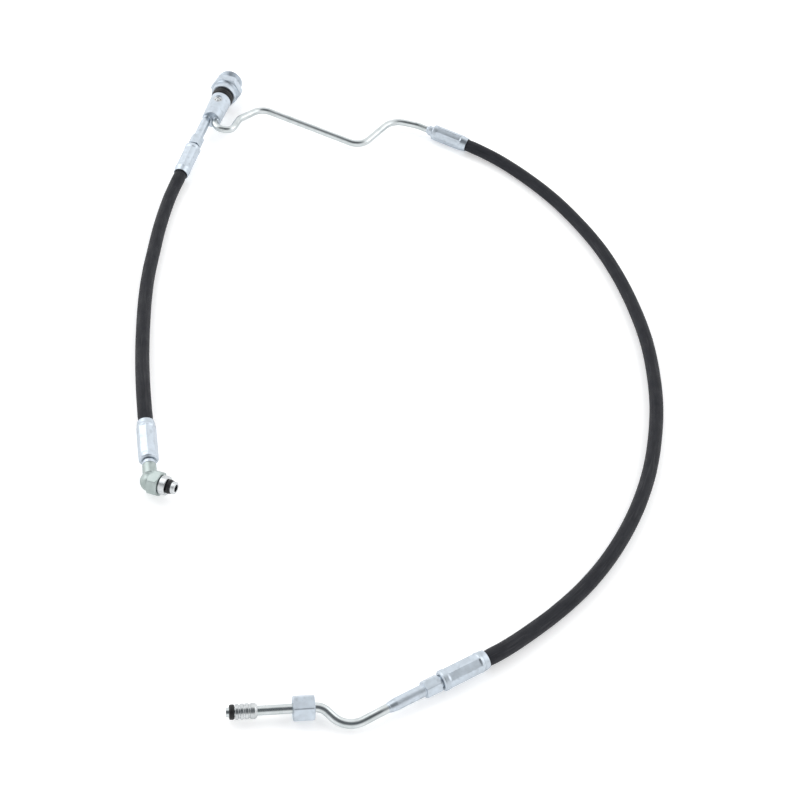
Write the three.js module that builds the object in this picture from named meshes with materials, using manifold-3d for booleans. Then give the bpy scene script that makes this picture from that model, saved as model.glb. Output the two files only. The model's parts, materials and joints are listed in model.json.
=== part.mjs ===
// Three-ended hydraulic hose assembly, lying on a flat surface, in millimetres with +Z up.
// A swivel-nut manifold feeds two lines. One is a short hose that ends in a 60 degree elbow with a
// swivelling stud. The other is a bent steel tube, a long hose and a second tube with a loose nut.
import * as THREE from 'three';
import { mergeVertices } from 'three/addons/utils/BufferGeometryUtils.js';
import Module from 'manifold-3d';

const wasm = await Module();
wasm.setup();

// Clearances and edges that every piece shares
const GAP = 0.3;
const SLIP = 0.5;
const CHAMFER = 0.8;
const PAST = 1;

// How finely round shapes are faceted
const FINE = 20;
const ROUND = 12;
const HEX_TURNING_SIDES = 24;
const RING_SECTION_SIDES = 8;
const TUBE_SIDES = 10;
const TUBE_BORE_SIDES = 6;
const TUBE_STEP = 8;
const HOSE_SIDES = 12;
const HOSE_STEP = 40;

// Hoses and tubes
const HOSE_RADIUS = 8.7;
const HOSE_BORE_RADIUS = 5.2;
const TUBE_RADIUS = 5;
const TUBE_BORE_RADIUS = 3.6;
const TUBE_SOCKET_RADIUS = TUBE_RADIUS + SLIP;
const SOCKET_DEPTH = 12;
const PASSAGE_RADIUS = 3;

// Manifold, measured along its axis from the face that the tubes enter
const MANIFOLD_AT = [-232, 396, 20.6];
const MANIFOLD_HEADING = [0.06, 0.9982, 0];
const BODY_LENGTH = 49;
const BODY_NEAR_RADIUS = 13.7;
const BODY_FAR_RADIUS = 15;
const BODY_FAR_CHAMFER = 1.5;
const PORT_OFFSET = 6.6;
const PORT_PASSAGE_END = 25;
const GALLERY_START = 20;
const GALLERY_RADIUS = 5;
const SEAL_INNER_RADIUS = 13.5;
const SEAL_OUTER_RADIUS = 15.8;
const SEAL_LENGTH = 10;
const SPINDLE_RADIUS = 10.5;
const SPINDLE_LENGTH = 34;

// Swivel nut: a round collar, a hexagon and an externally threaded front
const SWIVEL_NUT_AT = BODY_LENGTH + SEAL_LENGTH + 2 * GAP;
const SWIVEL_NUT_FLATS = 41;
const SWIVEL_NUT_CHAMFER = 1.6;
const SWIVEL_COLLAR_LENGTH = 13;
const SWIVEL_COLLAR_RADIUS = 18;
const SWIVEL_HEX_LENGTH = 11.5;
const SWIVEL_NUT_LENGTH = 40.5;
const SWIVEL_NUT_END = SWIVEL_NUT_AT + SWIVEL_NUT_LENGTH;
const SWIVEL_BACK_WALL = 6;
const SWIVEL_THREAD_RADIUS = 18;
const SWIVEL_RELIEF_RADIUS = 16.2;
const SWIVEL_RELIEF_LENGTH = 2.5;
const THRUST_WASHER_THICKNESS = 1.6;
const NOSE_RADIUS = 13.3;
const NOSE_REACH = 4;
const NOSE_END = SWIVEL_NUT_END + NOSE_REACH;
const NOSE_LIP_LENGTH = 3;
const NOSE_GROOVE_LENGTH = 3.2;
const NOSE_GROOVE_DEPTH = 2;

// Ball plug that closes the drilling on top of the manifold
const PLUG_AT = 33;
const PLUG_RADIUS = 6;
const PLUG_FLOOR = 1.5;
const PLUG_HEIGHT = 6;
const PLUG_SEAT_HEIGHT = 13.6;
const SPOT_FACE_RADIUS = 7.5;
const BALL_RADIUS = 3.6;
const BALL_PROUD = 0.9;

// Fittings at the hose ends: the ferrule's mouth and the way from the hose into the metal
const LEFT_UPPER = { mouth: [-247.2, 277.6, 11.6], heading: [0.0725, 0.9945, 0.0757] };
const LEFT_LOWER = { mouth: [-174.6, -164.3, 16.6], heading: [0.3266, -0.9452, 0] };
const RIGHT_UPPER = { mouth: [142.6, 455.7, 11.6], heading: [-0.9527, 0.304, 0] };
const RIGHT_LOWER = { mouth: [248.7, -385.6, 11.6], heading: [-0.784, -0.6207, 0] };

// Crimped ferrule and barbed nipple, measured along the axis from the ferrule's mouth
const FERRULE_RADIUS = 11.25;
const FERRULE_LENGTH = 56;
const FERRULE_WALL = 1.9;
const FERRULE_BACK_WALL = 4;
const FERRULE_BACK_CHAMFER = 2;
const HOSE_DEPTH = 46;
const NIPPLE_START = 2;
const NIPPLE_TIP_RADIUS = 4;
const BARB_RADIUS = 4.75;
const BARB_ROOT_RADIUS = 4.2;
const BARB_START = 6;
const BARB_PITCH = 8;
const BARB_FACE_LENGTH = 0.6;
const BARB_ROOT_LENGTH = 3;
const COLLAR_RADIUS = 7.6;
const COLLAR_LENGTH = 3.4;
const TAIL_RADIUS = 6.6;
const TAIL_START = FERRULE_LENGTH + SLIP;
const SHORT_SHOULDER_RADIUS = 7.2;
const SHORT_NIPPLE_END = FERRULE_LENGTH + 8;
const HEX_FLATS = 17;
const HEX_START = FERRULE_LENGTH + 2.5;
const HEX_END = HEX_START + 18;
const LONG_NIPPLE_END = HEX_END + 41;
const ELBOW_SHOULDER_END = FERRULE_LENGTH + 5;
const ELBOW_SPIGOT_LENGTH = 9;

// Elbow and its swivelling stud, measured along the outlet from the corner of the passages
const ELBOW_REACH = 84;
const ELBOW_TURN = THREE.MathUtils.degToRad(60);
const ELBOW_ROLL = THREE.MathUtils.degToRad(9);
const ELBOW_STEM_RADIUS = 8;
const ELBOW_STEM_END = ELBOW_REACH - ELBOW_SHOULDER_END - GAP;
const ELBOW_PASSAGE_RADIUS = 3.5;
const ELBOW_KNUCKLE_RADIUS = 11.8;
const ELBOW_FLATS = 27;
const ELBOW_HEX_CHAMFER = 1.8;
const ELBOW_HEX_START = 2;
const ELBOW_FRONT = 13.5;
const JOURNAL_RADIUS = 7.6;
const JOURNAL_SOCKET_RADIUS = 8;
const JOURNAL_START = 4;
const JOURNAL_SEAL_GROOVE = [6, 8.6];
const JOURNAL_SEAL_DEPTH = 1.6;
const SNAP_GROOVE = [10, 11.8];
const SNAP_GROOVE_DEPTH = 1.2;
const SNAP_RING_REACH = 0.4;
const SNAP_RING_OPENING = THREE.MathUtils.degToRad(20);
const FLANGE_START = ELBOW_FRONT + GAP;
const FLANGE_END = FLANGE_START + 8;
const FLANGE_RADIUS = 11.2;
const PILOT_RADIUS = 7.1;
const PILOT_GROOVE_RADIUS = 5.9;
const PILOT_GROOVE_END = FLANGE_END + 5.6;
const STUD_END = PILOT_GROOVE_END + 4.5;
const STUD_BORE_RADIUS = 4.2;
const PORT_RING_RADIUS = 8.3;
const PORT_RING_LENGTH = 3.4;
const BACKUP_RING_RADIUS = 7.7;
const BACKUP_RING_LENGTH = 1.3;

// Tube end and its nut, measured along the tube from its open end
const TUBE_END = { mouth: [-2.6, -495.1, 12.6], heading: [0.9681, 0.2506, 0] };
const END_NOSE_LENGTH = 3;
const END_RING_LENGTH = 5.4;
const END_RING_RADIUS = 7.6;
const SLEEVE_START = 9;
const SLEEVE_END = 31;
const SLEEVE_RADIUS = 8;
const SLEEVE_TAPER_LENGTH = 2.5;
const SLEEVE_TAPER_DEPTH = 2;
const SLEEVE_GROOVE_DEPTH = 1;
const SLEEVE_GROOVE_LENGTH = 2.2;
const SLEEVE_GROOVE_PITCH = 5;
const NUT_FLATS = 24;
const NUT_CHAMFER = 1.5;
const NUT_START = 66;
const NUT_END = 88;
const NUT_BACK_WALL = 5;
const NUT_THREAD_RADIUS = 9.2;
const WASHER_THICKNESS = 2;

const STEEL = { color: 0xb4b6b8, roughness: 0.32, metalness: 1 };
const BRIGHT_STEEL = { color: 0xd2d4d6, roughness: 0.2, metalness: 1 };
const ZINC = { color: 0xa8acae, roughness: 0.38, metalness: 1 };
const RUBBER = { color: 0x17181a, roughness: 0.62, metalness: 0 };
const SEAL = { color: 0x0b0b0c, roughness: 0.5, metalness: 0 };

// Geometry helpers

/** Joins shared vertices, drops collapsed triangles and turns the faces outward. */
function closedGeometry(geometry) {
  const bare = geometry.clone();
  bare.deleteAttribute('normal');
  bare.deleteAttribute('uv');
  const merged = mergeVertices(bare, 1e-4);
  const kept = [];
  let volume = 0;
  const corner = [0, 1, 2].map(() => new THREE.Vector3());
  for (let i = 0; i < merged.index.count; i += 3) {
    const triangle = [0, 1, 2].map((k) => merged.index.getX(i + k));
    if (new Set(triangle).size < 3) continue;
    triangle.forEach((vertex, k) => corner[k].fromBufferAttribute(merged.attributes.position, vertex));
    volume += corner[0].dot(corner[1].clone().cross(corner[2]));
    kept.push(...triangle);
  }
  merged.setIndex(volume < 0 ? kept.reverse() : kept);
  return merged;
}

function toSolid(geometry) {
  const closed = closedGeometry(geometry);
  return new wasm.Manifold(new wasm.Mesh({
    numProp: 3,
    vertProperties: new Float32Array(closed.attributes.position.array),
    triVerts: new Uint32Array(closed.index.array),
  }));
}

function fromSolid(solid) {
  const { vertProperties, triVerts } = solid.getMesh();
  const geometry = new THREE.BufferGeometry();
  geometry.setAttribute('position', new THREE.BufferAttribute(new Float32Array(vertProperties), 3));
  geometry.setIndex(Array.from(triVerts));
  return geometry;
}

/** The first geometry joined with the second list and cut by the third. */
function carve(base, added, removed) {
  let solid = toSolid(base);
  for (const geometry of added) solid = solid.add(toSolid(geometry));
  for (const geometry of removed) solid = solid.subtract(toSolid(geometry));
  return fromSolid(solid);
}

/** A solid of revolution about +Z from [radius, height] pairs. */
function turned(profile, sides = ROUND) {
  const points = profile.map(([radius, height]) => new THREE.Vector2(radius, height));
  return closedGeometry(new THREE.LatheGeometry(points, sides).rotateX(Math.PI / 2));
}

/** A turned ring or sleeve, closed on itself, between two radii and two heights. */
function turnedRing(inner, outer, low, high, sides = ROUND) {
  return turned([[inner, low], [outer, low], [outer, high], [inner, high], [inner, low]], sides);
}

function rod(radius, low, high, sides = ROUND) {
  return turned([[0, low], [radius, low], [radius, high], [0, high]], sides);
}

/** A ring of rounded section, such as an O-ring. */
function softRing(inner, outer, low, high) {
  const profile = [];
  for (let i = 0; i <= RING_SECTION_SIDES; i += 1) {
    const angle = (i / RING_SECTION_SIDES) * 2 * Math.PI;
    profile.push([
      (inner + outer) / 2 + ((outer - inner) / 2) * Math.cos(angle),
      (low + high) / 2 + ((high - low) / 2) * Math.sin(angle),
    ]);
  }
  profile[RING_SECTION_SIDES] = profile[0];
  return turned(profile, FINE);
}

/** A hexagonal prism along +Z with flats facing +Y and -Y and its corners turned off. */
function hexPrism(flats, low, high, chamfer) {
  const cornerRadius = flats / Math.sqrt(3);
  const faceRadius = (flats / 2) * 0.98;
  const outline = new THREE.Shape(circlePoints(cornerRadius, 6, 0));
  const prism = new THREE.ExtrudeGeometry(outline, { depth: high - low, bevelEnabled: false });
  const turning = turned([
    [0, low],
    [faceRadius, low],
    [cornerRadius, low + chamfer],
    [cornerRadius, high - chamfer],
    [faceRadius, high],
    [0, high],
  ], HEX_TURNING_SIDES);
  return fromSolid(toSolid(prism.translate(0, 0, low)).intersect(toSolid(turning)));
}

/** The corners of a regular polygon, by default with a flat where its first corner would be. */
function circlePoints(radius, sides, turn = 0.5) {
  const points = [];
  for (let i = 0; i < sides; i += 1) {
    const angle = ((i + turn) / sides) * 2 * Math.PI;
    points.push(new THREE.Vector2(radius * Math.cos(angle), radius * Math.sin(angle)));
  }
  return points;
}

/** A hollow round section swept along a curve. */
function pipe(curve, outside, bore, stepLength) {
  const section = new THREE.Shape(outside);
  section.holes.push(new THREE.Path(bore));
  const steps = Math.ceil(curve.getLength() / stepLength);
  return closedGeometry(new THREE.ExtrudeGeometry(section, { steps, extrudePath: curve }));
}

/** A circular bend from a start point, turning about an axis through a centre. */
class Bend extends THREE.Curve {
  constructor(start, centre, axis, angle) {
    super();
    Object.assign(this, { start, centre, axis, angle });
  }

  getPoint(t, target = new THREE.Vector3()) {
    target.copy(this.start).sub(this.centre);
    return target.applyAxisAngle(this.axis, this.angle * t).add(this.centre);
  }
}

/** Straight tube lengths joined by circular bends at the given corners, [x, y, z, bend radius]. */
function bentPath(corners) {
  const points = corners.map(([x, y, z]) => new THREE.Vector3(x, y, z));
  const path = new THREE.CurvePath();
  let last = points[0];
  for (let i = 1; i < points.length - 1; i += 1) {
    const incoming = points[i].clone().sub(points[i - 1]).normalize();
    const outgoing = points[i + 1].clone().sub(points[i]).normalize();
    const angle = incoming.angleTo(outgoing);
    const radius = corners[i][3];
    const setback = radius * Math.tan(angle / 2);
    const start = points[i].clone().addScaledVector(incoming, -setback);
    const axis = incoming.clone().cross(outgoing).normalize();
    const centre = start.clone().addScaledVector(axis.clone().cross(incoming), radius);
    path.add(new THREE.LineCurve3(last, start));
    path.add(new Bend(start, centre, axis, angle));
    last = points[i].clone().addScaledVector(outgoing, setback);
  }
  path.add(new THREE.LineCurve3(last, points.at(-1)));
  return path;
}

/** A group whose local +Z runs along a heading, with local +Y as near to straight up as it can be. */
function station([x, y, z], heading) {
  const forward = new THREE.Vector3(...heading).normalize();
  const side = new THREE.Vector3(0, 0, 1).cross(forward).normalize();
  const up = forward.clone().cross(side);
  const group = new THREE.Group();
  group.quaternion.setFromRotationMatrix(new THREE.Matrix4().makeBasis(side, up, forward));
  group.position.set(x, y, z);
  return group;
}

/** The point on a fitting's axis at a distance from its mouth, away from the hose or open end. */
function along({ mouth, heading }, distance) {
  const direction = new THREE.Vector3(...heading).normalize();
  return new THREE.Vector3(...mouth).addScaledVector(direction, distance).toArray();
}

function piece(name, geometry, finish) {
  geometry.computeVertexNormals();
  const mesh = new THREE.Mesh(geometry, new THREE.MeshStandardMaterial(finish));
  mesh.name = name;
  return mesh;
}

// Manifold end

function manifoldBody() {
  const landRadius = SEAL_INNER_RADIUS - SLIP;
  const landEnd = SWIVEL_NUT_AT - GAP;
  const spindleEnd = SWIVEL_NUT_AT + SPINDLE_LENGTH;
  const outline = turned([
    [0, 0],
    [BODY_NEAR_RADIUS - CHAMFER, 0],
    [BODY_NEAR_RADIUS, CHAMFER],
    [BODY_FAR_RADIUS, BODY_LENGTH - BODY_FAR_CHAMFER],
    [BODY_FAR_RADIUS - BODY_FAR_CHAMFER, BODY_LENGTH],
    [landRadius, BODY_LENGTH],
    [landRadius, landEnd],
    [SPINDLE_RADIUS, landEnd],
    [SPINDLE_RADIUS, spindleEnd],
    [0, spindleEnd],
  ], FINE);
  const ports = [-PORT_OFFSET, PORT_OFFSET].flatMap((offset) => [
    rod(TUBE_SOCKET_RADIUS, -PAST, SOCKET_DEPTH).translate(offset, 0, 0),
    rod(PASSAGE_RADIUS, SOCKET_DEPTH - PAST, PORT_PASSAGE_END).translate(offset, 0, 0),
  ]);
  const gallery = rod(GALLERY_RADIUS, GALLERY_START, spindleEnd + PAST);
  const plugCuts = [
    rod(PLUG_RADIUS + GAP, PLUG_SEAT_HEIGHT - PLUG_HEIGHT, BODY_FAR_RADIUS + PAST),
    rod(SPOT_FACE_RADIUS, PLUG_SEAT_HEIGHT, BODY_FAR_RADIUS + PAST),
    rod(PASSAGE_RADIUS, 0, PLUG_SEAT_HEIGHT),
  ];
  const fromTop = plugCuts.map((cut) => cut.rotateX(-Math.PI / 2).translate(0, 0, PLUG_AT));
  return carve(outline, [], [...ports, gallery, ...fromTop]);
}

function plugSleeve() {
  const boreRadius = BALL_RADIUS + GAP;
  const edge = CHAMFER / 2;
  return turned([
    [boreRadius, PLUG_FLOOR],
    [PLUG_RADIUS, PLUG_FLOOR],
    [PLUG_RADIUS, PLUG_HEIGHT - edge],
    [PLUG_RADIUS - edge, PLUG_HEIGHT],
    [boreRadius + edge, PLUG_HEIGHT],
    [boreRadius, PLUG_HEIGHT - edge],
    [boreRadius, PLUG_FLOOR],
  ]);
}

function plugParts() {
  const plug = new THREE.Group();
  plug.rotation.x = -Math.PI / 2;
  plug.position.set(0, PLUG_SEAT_HEIGHT - PLUG_HEIGHT, PLUG_AT);
  const ballHeight = PLUG_HEIGHT + BALL_PROUD - BALL_RADIUS;
  const ball = new THREE.SphereGeometry(BALL_RADIUS, ROUND, ROUND / 2).rotateX(Math.PI / 2);
  plug.add(
    piece('plug_sleeve', plugSleeve(), BRIGHT_STEEL),
    piece('plug_ball', closedGeometry(ball.translate(0, 0, ballHeight)), BRIGHT_STEEL),
  );
  return plug;
}

function swivelNut() {
  const hexStart = SWIVEL_NUT_AT + SWIVEL_COLLAR_LENGTH;
  const hexEnd = hexStart + SWIVEL_HEX_LENGTH;
  const threadStart = hexEnd + SWIVEL_RELIEF_LENGTH;
  const threadBevel = SWIVEL_THREAD_RADIUS - SWIVEL_RELIEF_RADIUS;
  const roundParts = turned([
    [0, SWIVEL_NUT_AT],
    [SWIVEL_COLLAR_RADIUS - CHAMFER, SWIVEL_NUT_AT],
    [SWIVEL_COLLAR_RADIUS, SWIVEL_NUT_AT + CHAMFER],
    [SWIVEL_COLLAR_RADIUS, hexStart + PAST],
    [SWIVEL_RELIEF_RADIUS, hexStart + PAST],
    [SWIVEL_RELIEF_RADIUS, threadStart],
    [SWIVEL_THREAD_RADIUS, threadStart + threadBevel],
    [SWIVEL_THREAD_RADIUS, SWIVEL_NUT_END - threadBevel],
    [SWIVEL_RELIEF_RADIUS, SWIVEL_NUT_END],
    [0, SWIVEL_NUT_END],
  ], FINE);
  const hexagon = hexPrism(SWIVEL_NUT_FLATS, hexStart, hexEnd, SWIVEL_NUT_CHAMFER);
  return carve(roundParts, [hexagon], [
    rod(SPINDLE_RADIUS + SLIP, SWIVEL_NUT_AT - PAST, SWIVEL_NUT_END, FINE),
    rod(NOSE_RADIUS + SLIP + GAP, SWIVEL_NUT_AT + SWIVEL_BACK_WALL, SWIVEL_NUT_END + PAST, FINE),
  ]);
}

/** The sealing nose on the spindle's end, which keeps the nut and its washer in place. */
function manifoldNose() {
  const start = SWIVEL_NUT_AT + SWIVEL_BACK_WALL + THRUST_WASHER_THICKNESS + 2 * GAP;
  const spindleEnd = SWIVEL_NUT_AT + SPINDLE_LENGTH;
  const lipStart = NOSE_END - NOSE_LIP_LENGTH;
  const grooveRadius = NOSE_RADIUS - NOSE_GROOVE_DEPTH;
  const outline = turned([
    [0, start],
    [NOSE_RADIUS, start],
    [NOSE_RADIUS, lipStart - NOSE_GROOVE_LENGTH],
    [grooveRadius, lipStart - NOSE_GROOVE_LENGTH],
    [grooveRadius, lipStart],
    [NOSE_RADIUS, lipStart],
    [NOSE_RADIUS, NOSE_END - CHAMFER],
    [NOSE_RADIUS - CHAMFER, NOSE_END],
    [0, NOSE_END],
  ], FINE);
  return carve(outline, [], [
    rod(SPINDLE_RADIUS + SLIP, start - PAST, spindleEnd + GAP, FINE),
    rod(GALLERY_RADIUS, spindleEnd, NOSE_END + PAST),
  ]);
}

function noseRing() {
  const grooveEnd = NOSE_END - NOSE_LIP_LENGTH;
  return softRing(NOSE_RADIUS - NOSE_GROOVE_DEPTH + GAP, NOSE_RADIUS + GAP,
    grooveEnd - NOSE_GROOVE_LENGTH + GAP, grooveEnd - GAP);
}

function manifoldParts() {
  const group = station(MANIFOLD_AT, MANIFOLD_HEADING);
  const sealStart = BODY_LENGTH + GAP;
  const washerStart = SWIVEL_NUT_AT + SWIVEL_BACK_WALL + GAP;
  const washerEnd = washerStart + THRUST_WASHER_THICKNESS;
  const rearSeal = softRing(SEAL_INNER_RADIUS, SEAL_OUTER_RADIUS, sealStart, BODY_LENGTH + SEAL_LENGTH);
  const thrustWasher = turnedRing(SPINDLE_RADIUS + SLIP, NOSE_RADIUS, washerStart, washerEnd, FINE);
  group.add(
    piece('manifold_body', manifoldBody(), STEEL),
    piece('nut_rear_seal', rearSeal, SEAL),
    piece('swivel_nut', swivelNut(), ZINC),
    piece('swivel_thrust_washer', thrustWasher, STEEL),
    piece('manifold_nose', manifoldNose(), BRIGHT_STEEL),
    piece('nose_o_ring', noseRing(), SEAL),
    plugParts(),
  );
  return group;
}

// Hose end fittings

function ferrule() {
  const inner = FERRULE_RADIUS - FERRULE_WALL;
  const backRadius = TAIL_RADIUS + SLIP;
  const backStart = FERRULE_LENGTH - FERRULE_BACK_WALL;
  return turned([
    [inner, 0],
    [FERRULE_RADIUS - CHAMFER, 0],
    [FERRULE_RADIUS, CHAMFER],
    [FERRULE_RADIUS, FERRULE_LENGTH - FERRULE_BACK_CHAMFER],
    [FERRULE_RADIUS - FERRULE_BACK_CHAMFER, FERRULE_LENGTH],
    [backRadius, FERRULE_LENGTH],
    [backRadius, backStart],
    [inner, backStart],
    [inner, 0],
  ], FINE);
}

/** The barbed part inside the hose, the collar that the ferrule grips and the neck behind it. */
function nippleOutline() {
  const collarStart = HOSE_DEPTH + GAP;
  const collarEnd = collarStart + COLLAR_LENGTH;
  const barbs = [];
  for (let start = BARB_START; start < HOSE_DEPTH - BARB_PITCH; start += BARB_PITCH) {
    const root = start + BARB_FACE_LENGTH;
    barbs.push([BARB_RADIUS, start], [BARB_ROOT_RADIUS, root], [BARB_ROOT_RADIUS, root + BARB_ROOT_LENGTH]);
  }
  return [
    [0, NIPPLE_START],
    [NIPPLE_TIP_RADIUS, NIPPLE_START],
    ...barbs,
    [BARB_RADIUS, HOSE_DEPTH - BARB_PITCH / 2],
    [BARB_RADIUS, collarStart],
    [COLLAR_RADIUS, collarStart],
    [COLLAR_RADIUS, collarEnd],
    [TAIL_RADIUS, collarEnd],
    [TAIL_RADIUS, TAIL_START],
  ];
}

/** A nipple that ends in a socket for a brazed tube. */
function tubeNipple(tail, extras) {
  const end = tail.at(-1)[1];
  const outline = turned([...nippleOutline(), ...tail, [0, end]]);
  return carve(outline, extras, [
    rod(TUBE_SOCKET_RADIUS, end - SOCKET_DEPTH, end + PAST),
    rod(PASSAGE_RADIUS, 0, end),
  ]);
}

/** A nipple with a plain shoulder, for a tube that leaves straight from the ferrule. */
function shortNipple() {
  const end = SHORT_NIPPLE_END;
  return tubeNipple([
    [SHORT_SHOULDER_RADIUS, TAIL_START],
    [SHORT_SHOULDER_RADIUS, end - SLIP],
    [SHORT_SHOULDER_RADIUS - SLIP, end],
  ], []);
}

/** A nipple with a hexagon behind the ferrule and a long round tail. */
function longNipple() {
  const end = LONG_NIPPLE_END;
  const tail = [[TAIL_RADIUS, end - CHAMFER], [TAIL_RADIUS - CHAMFER, end]];
  return tubeNipple(tail, [hexPrism(HEX_FLATS, HEX_START, HEX_END, CHAMFER)]);
}

/** A nipple whose spigot is brazed into the elbow. */
function elbowNipple() {
  const spigotEnd = ELBOW_SHOULDER_END + ELBOW_SPIGOT_LENGTH;
  const outline = turned([
    ...nippleOutline(),
    [COLLAR_RADIUS, TAIL_START],
    [COLLAR_RADIUS, ELBOW_SHOULDER_END],
    [TUBE_RADIUS, ELBOW_SHOULDER_END],
    [TUBE_RADIUS, spigotEnd],
    [0, spigotEnd],
  ]);
  return carve(outline, [], [rod(PASSAGE_RADIUS, 0, spigotEnd + PAST)]);
}

function hoseFittings() {
  const fittings = new THREE.Group();
  const kinds = [
    ['left_upper', LEFT_UPPER, longNipple()],
    ['left_lower', LEFT_LOWER, elbowNipple()],
    ['right_upper', RIGHT_UPPER, shortNipple()],
    ['right_lower', RIGHT_LOWER, longNipple()],
  ];
  for (const [place, { mouth, heading }, nipple] of kinds) {
    const group = station(mouth, heading);
    group.add(piece(`${place}_ferrule`, ferrule(), ZINC), piece(`${place}_nipple`, nipple, STEEL));
    fittings.add(group);
  }
  return fittings;
}

// Elbow end

function elbowBody() {
  const stem = rod(ELBOW_STEM_RADIUS, -ELBOW_STEM_END, 0, FINE);
  const knuckle = new THREE.SphereGeometry(ELBOW_KNUCKLE_RADIUS, FINE, ROUND);
  const block = hexPrism(ELBOW_FLATS, ELBOW_HEX_START, ELBOW_FRONT, ELBOW_HEX_CHAMFER);
  const snapGrooveRadius = JOURNAL_SOCKET_RADIUS + SNAP_GROOVE_DEPTH;
  const outletCuts = [
    rod(ELBOW_PASSAGE_RADIUS, -ELBOW_PASSAGE_RADIUS / 2, JOURNAL_START),
    rod(JOURNAL_SOCKET_RADIUS, JOURNAL_START - GAP, ELBOW_FRONT + PAST, FINE),
    turnedRing(JOURNAL_RADIUS, snapGrooveRadius, ...SNAP_GROOVE, FINE),
  ];
  return carve(stem, [knuckle, block.rotateY(ELBOW_TURN)], [
    rod(TUBE_SOCKET_RADIUS, -ELBOW_STEM_END - PAST, GAP + ELBOW_SPIGOT_LENGTH - ELBOW_STEM_END),
    rod(ELBOW_PASSAGE_RADIUS, -ELBOW_STEM_END, 0),
    ...outletCuts.map((cut) => cut.rotateY(ELBOW_TURN)),
  ]);
}

function portStud() {
  const [sealLow, sealHigh] = JOURNAL_SEAL_GROOVE;
  const [snapLow, snapHigh] = SNAP_GROOVE;
  const sealRadius = JOURNAL_RADIUS - JOURNAL_SEAL_DEPTH;
  const snapRadius = JOURNAL_RADIUS - SNAP_GROOVE_DEPTH;
  const outline = turned([
    [0, JOURNAL_START],
    [JOURNAL_RADIUS - SLIP, JOURNAL_START],
    [JOURNAL_RADIUS, JOURNAL_START + SLIP],
    [JOURNAL_RADIUS, sealLow],
    [sealRadius, sealLow],
    [sealRadius, sealHigh],
    [JOURNAL_RADIUS, sealHigh],
    [JOURNAL_RADIUS, snapLow],
    [snapRadius, snapLow],
    [snapRadius, snapHigh],
    [JOURNAL_RADIUS, snapHigh],
    [JOURNAL_RADIUS, FLANGE_START],
    [FLANGE_RADIUS - CHAMFER, FLANGE_START],
    [FLANGE_RADIUS, FLANGE_START + CHAMFER],
    [FLANGE_RADIUS, FLANGE_END - CHAMFER],
    [FLANGE_RADIUS - CHAMFER, FLANGE_END],
    [PILOT_GROOVE_RADIUS, FLANGE_END],
    [PILOT_GROOVE_RADIUS, PILOT_GROOVE_END],
    [PILOT_RADIUS, PILOT_GROOVE_END],
    [PILOT_RADIUS, STUD_END - CHAMFER],
    [PILOT_RADIUS - CHAMFER, STUD_END],
    [0, STUD_END],
  ], FINE);
  return carve(outline, [], [rod(STUD_BORE_RADIUS, 0, STUD_END + PAST)]);
}

/** An open spring-wire ring that sits half in the stud and half in the elbow. */
function snapRing() {
  const [low, high] = SNAP_GROOVE;
  const innerRadius = JOURNAL_RADIUS - SNAP_GROOVE_DEPTH + SNAP_RING_REACH;
  const outerRadius = JOURNAL_SOCKET_RADIUS + SNAP_GROOVE_DEPTH - SNAP_RING_REACH;
  const farSide = 2 * Math.PI - SNAP_RING_OPENING;
  const outline = new THREE.Shape();
  outline.absarc(0, 0, outerRadius, SNAP_RING_OPENING, farSide, false);
  outline.absarc(0, 0, innerRadius, farSide, SNAP_RING_OPENING, true);
  outline.closePath();
  const settings = { depth: high - low - 2 * GAP, bevelEnabled: false, curveSegments: ROUND };
  return closedGeometry(new THREE.ExtrudeGeometry(outline, settings).translate(0, 0, low + GAP));
}

function studSeals() {
  const [grooveLow, grooveHigh] = JOURNAL_SEAL_GROOVE;
  const journalInner = JOURNAL_RADIUS - JOURNAL_SEAL_DEPTH + GAP;
  const journalRing = softRing(journalInner, JOURNAL_RADIUS, grooveLow + GAP, grooveHigh - GAP);
  const portInner = PILOT_GROOVE_RADIUS + GAP;
  const portStart = FLANGE_END + GAP;
  const portEnd = portStart + PORT_RING_LENGTH;
  const backupStart = portEnd + GAP;
  const backupEnd = backupStart + BACKUP_RING_LENGTH;
  const backupRing = turnedRing(portInner, BACKUP_RING_RADIUS, backupStart, backupEnd, FINE);
  return [
    piece('port_o_ring', softRing(portInner, PORT_RING_RADIUS, portStart, portEnd), SEAL),
    piece('port_backup_ring', backupRing, RUBBER),
    piece('stud_inner_o_ring', journalRing, SEAL),
  ];
}

function elbowParts() {
  const group = station(along(LEFT_LOWER, ELBOW_REACH), LEFT_LOWER.heading);
  const roll = new THREE.Group();
  roll.rotation.z = ELBOW_ROLL;
  const outlet = new THREE.Group();
  outlet.rotation.y = ELBOW_TURN;
  outlet.add(
    piece('port_stud', portStud(), BRIGHT_STEEL),
    piece('stud_snap_ring', snapRing(), STEEL),
    ...studSeals(),
  );
  roll.add(piece('elbow_body', elbowBody(), ZINC), outlet);
  group.add(roll);
  return group;
}

// Tube end

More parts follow.
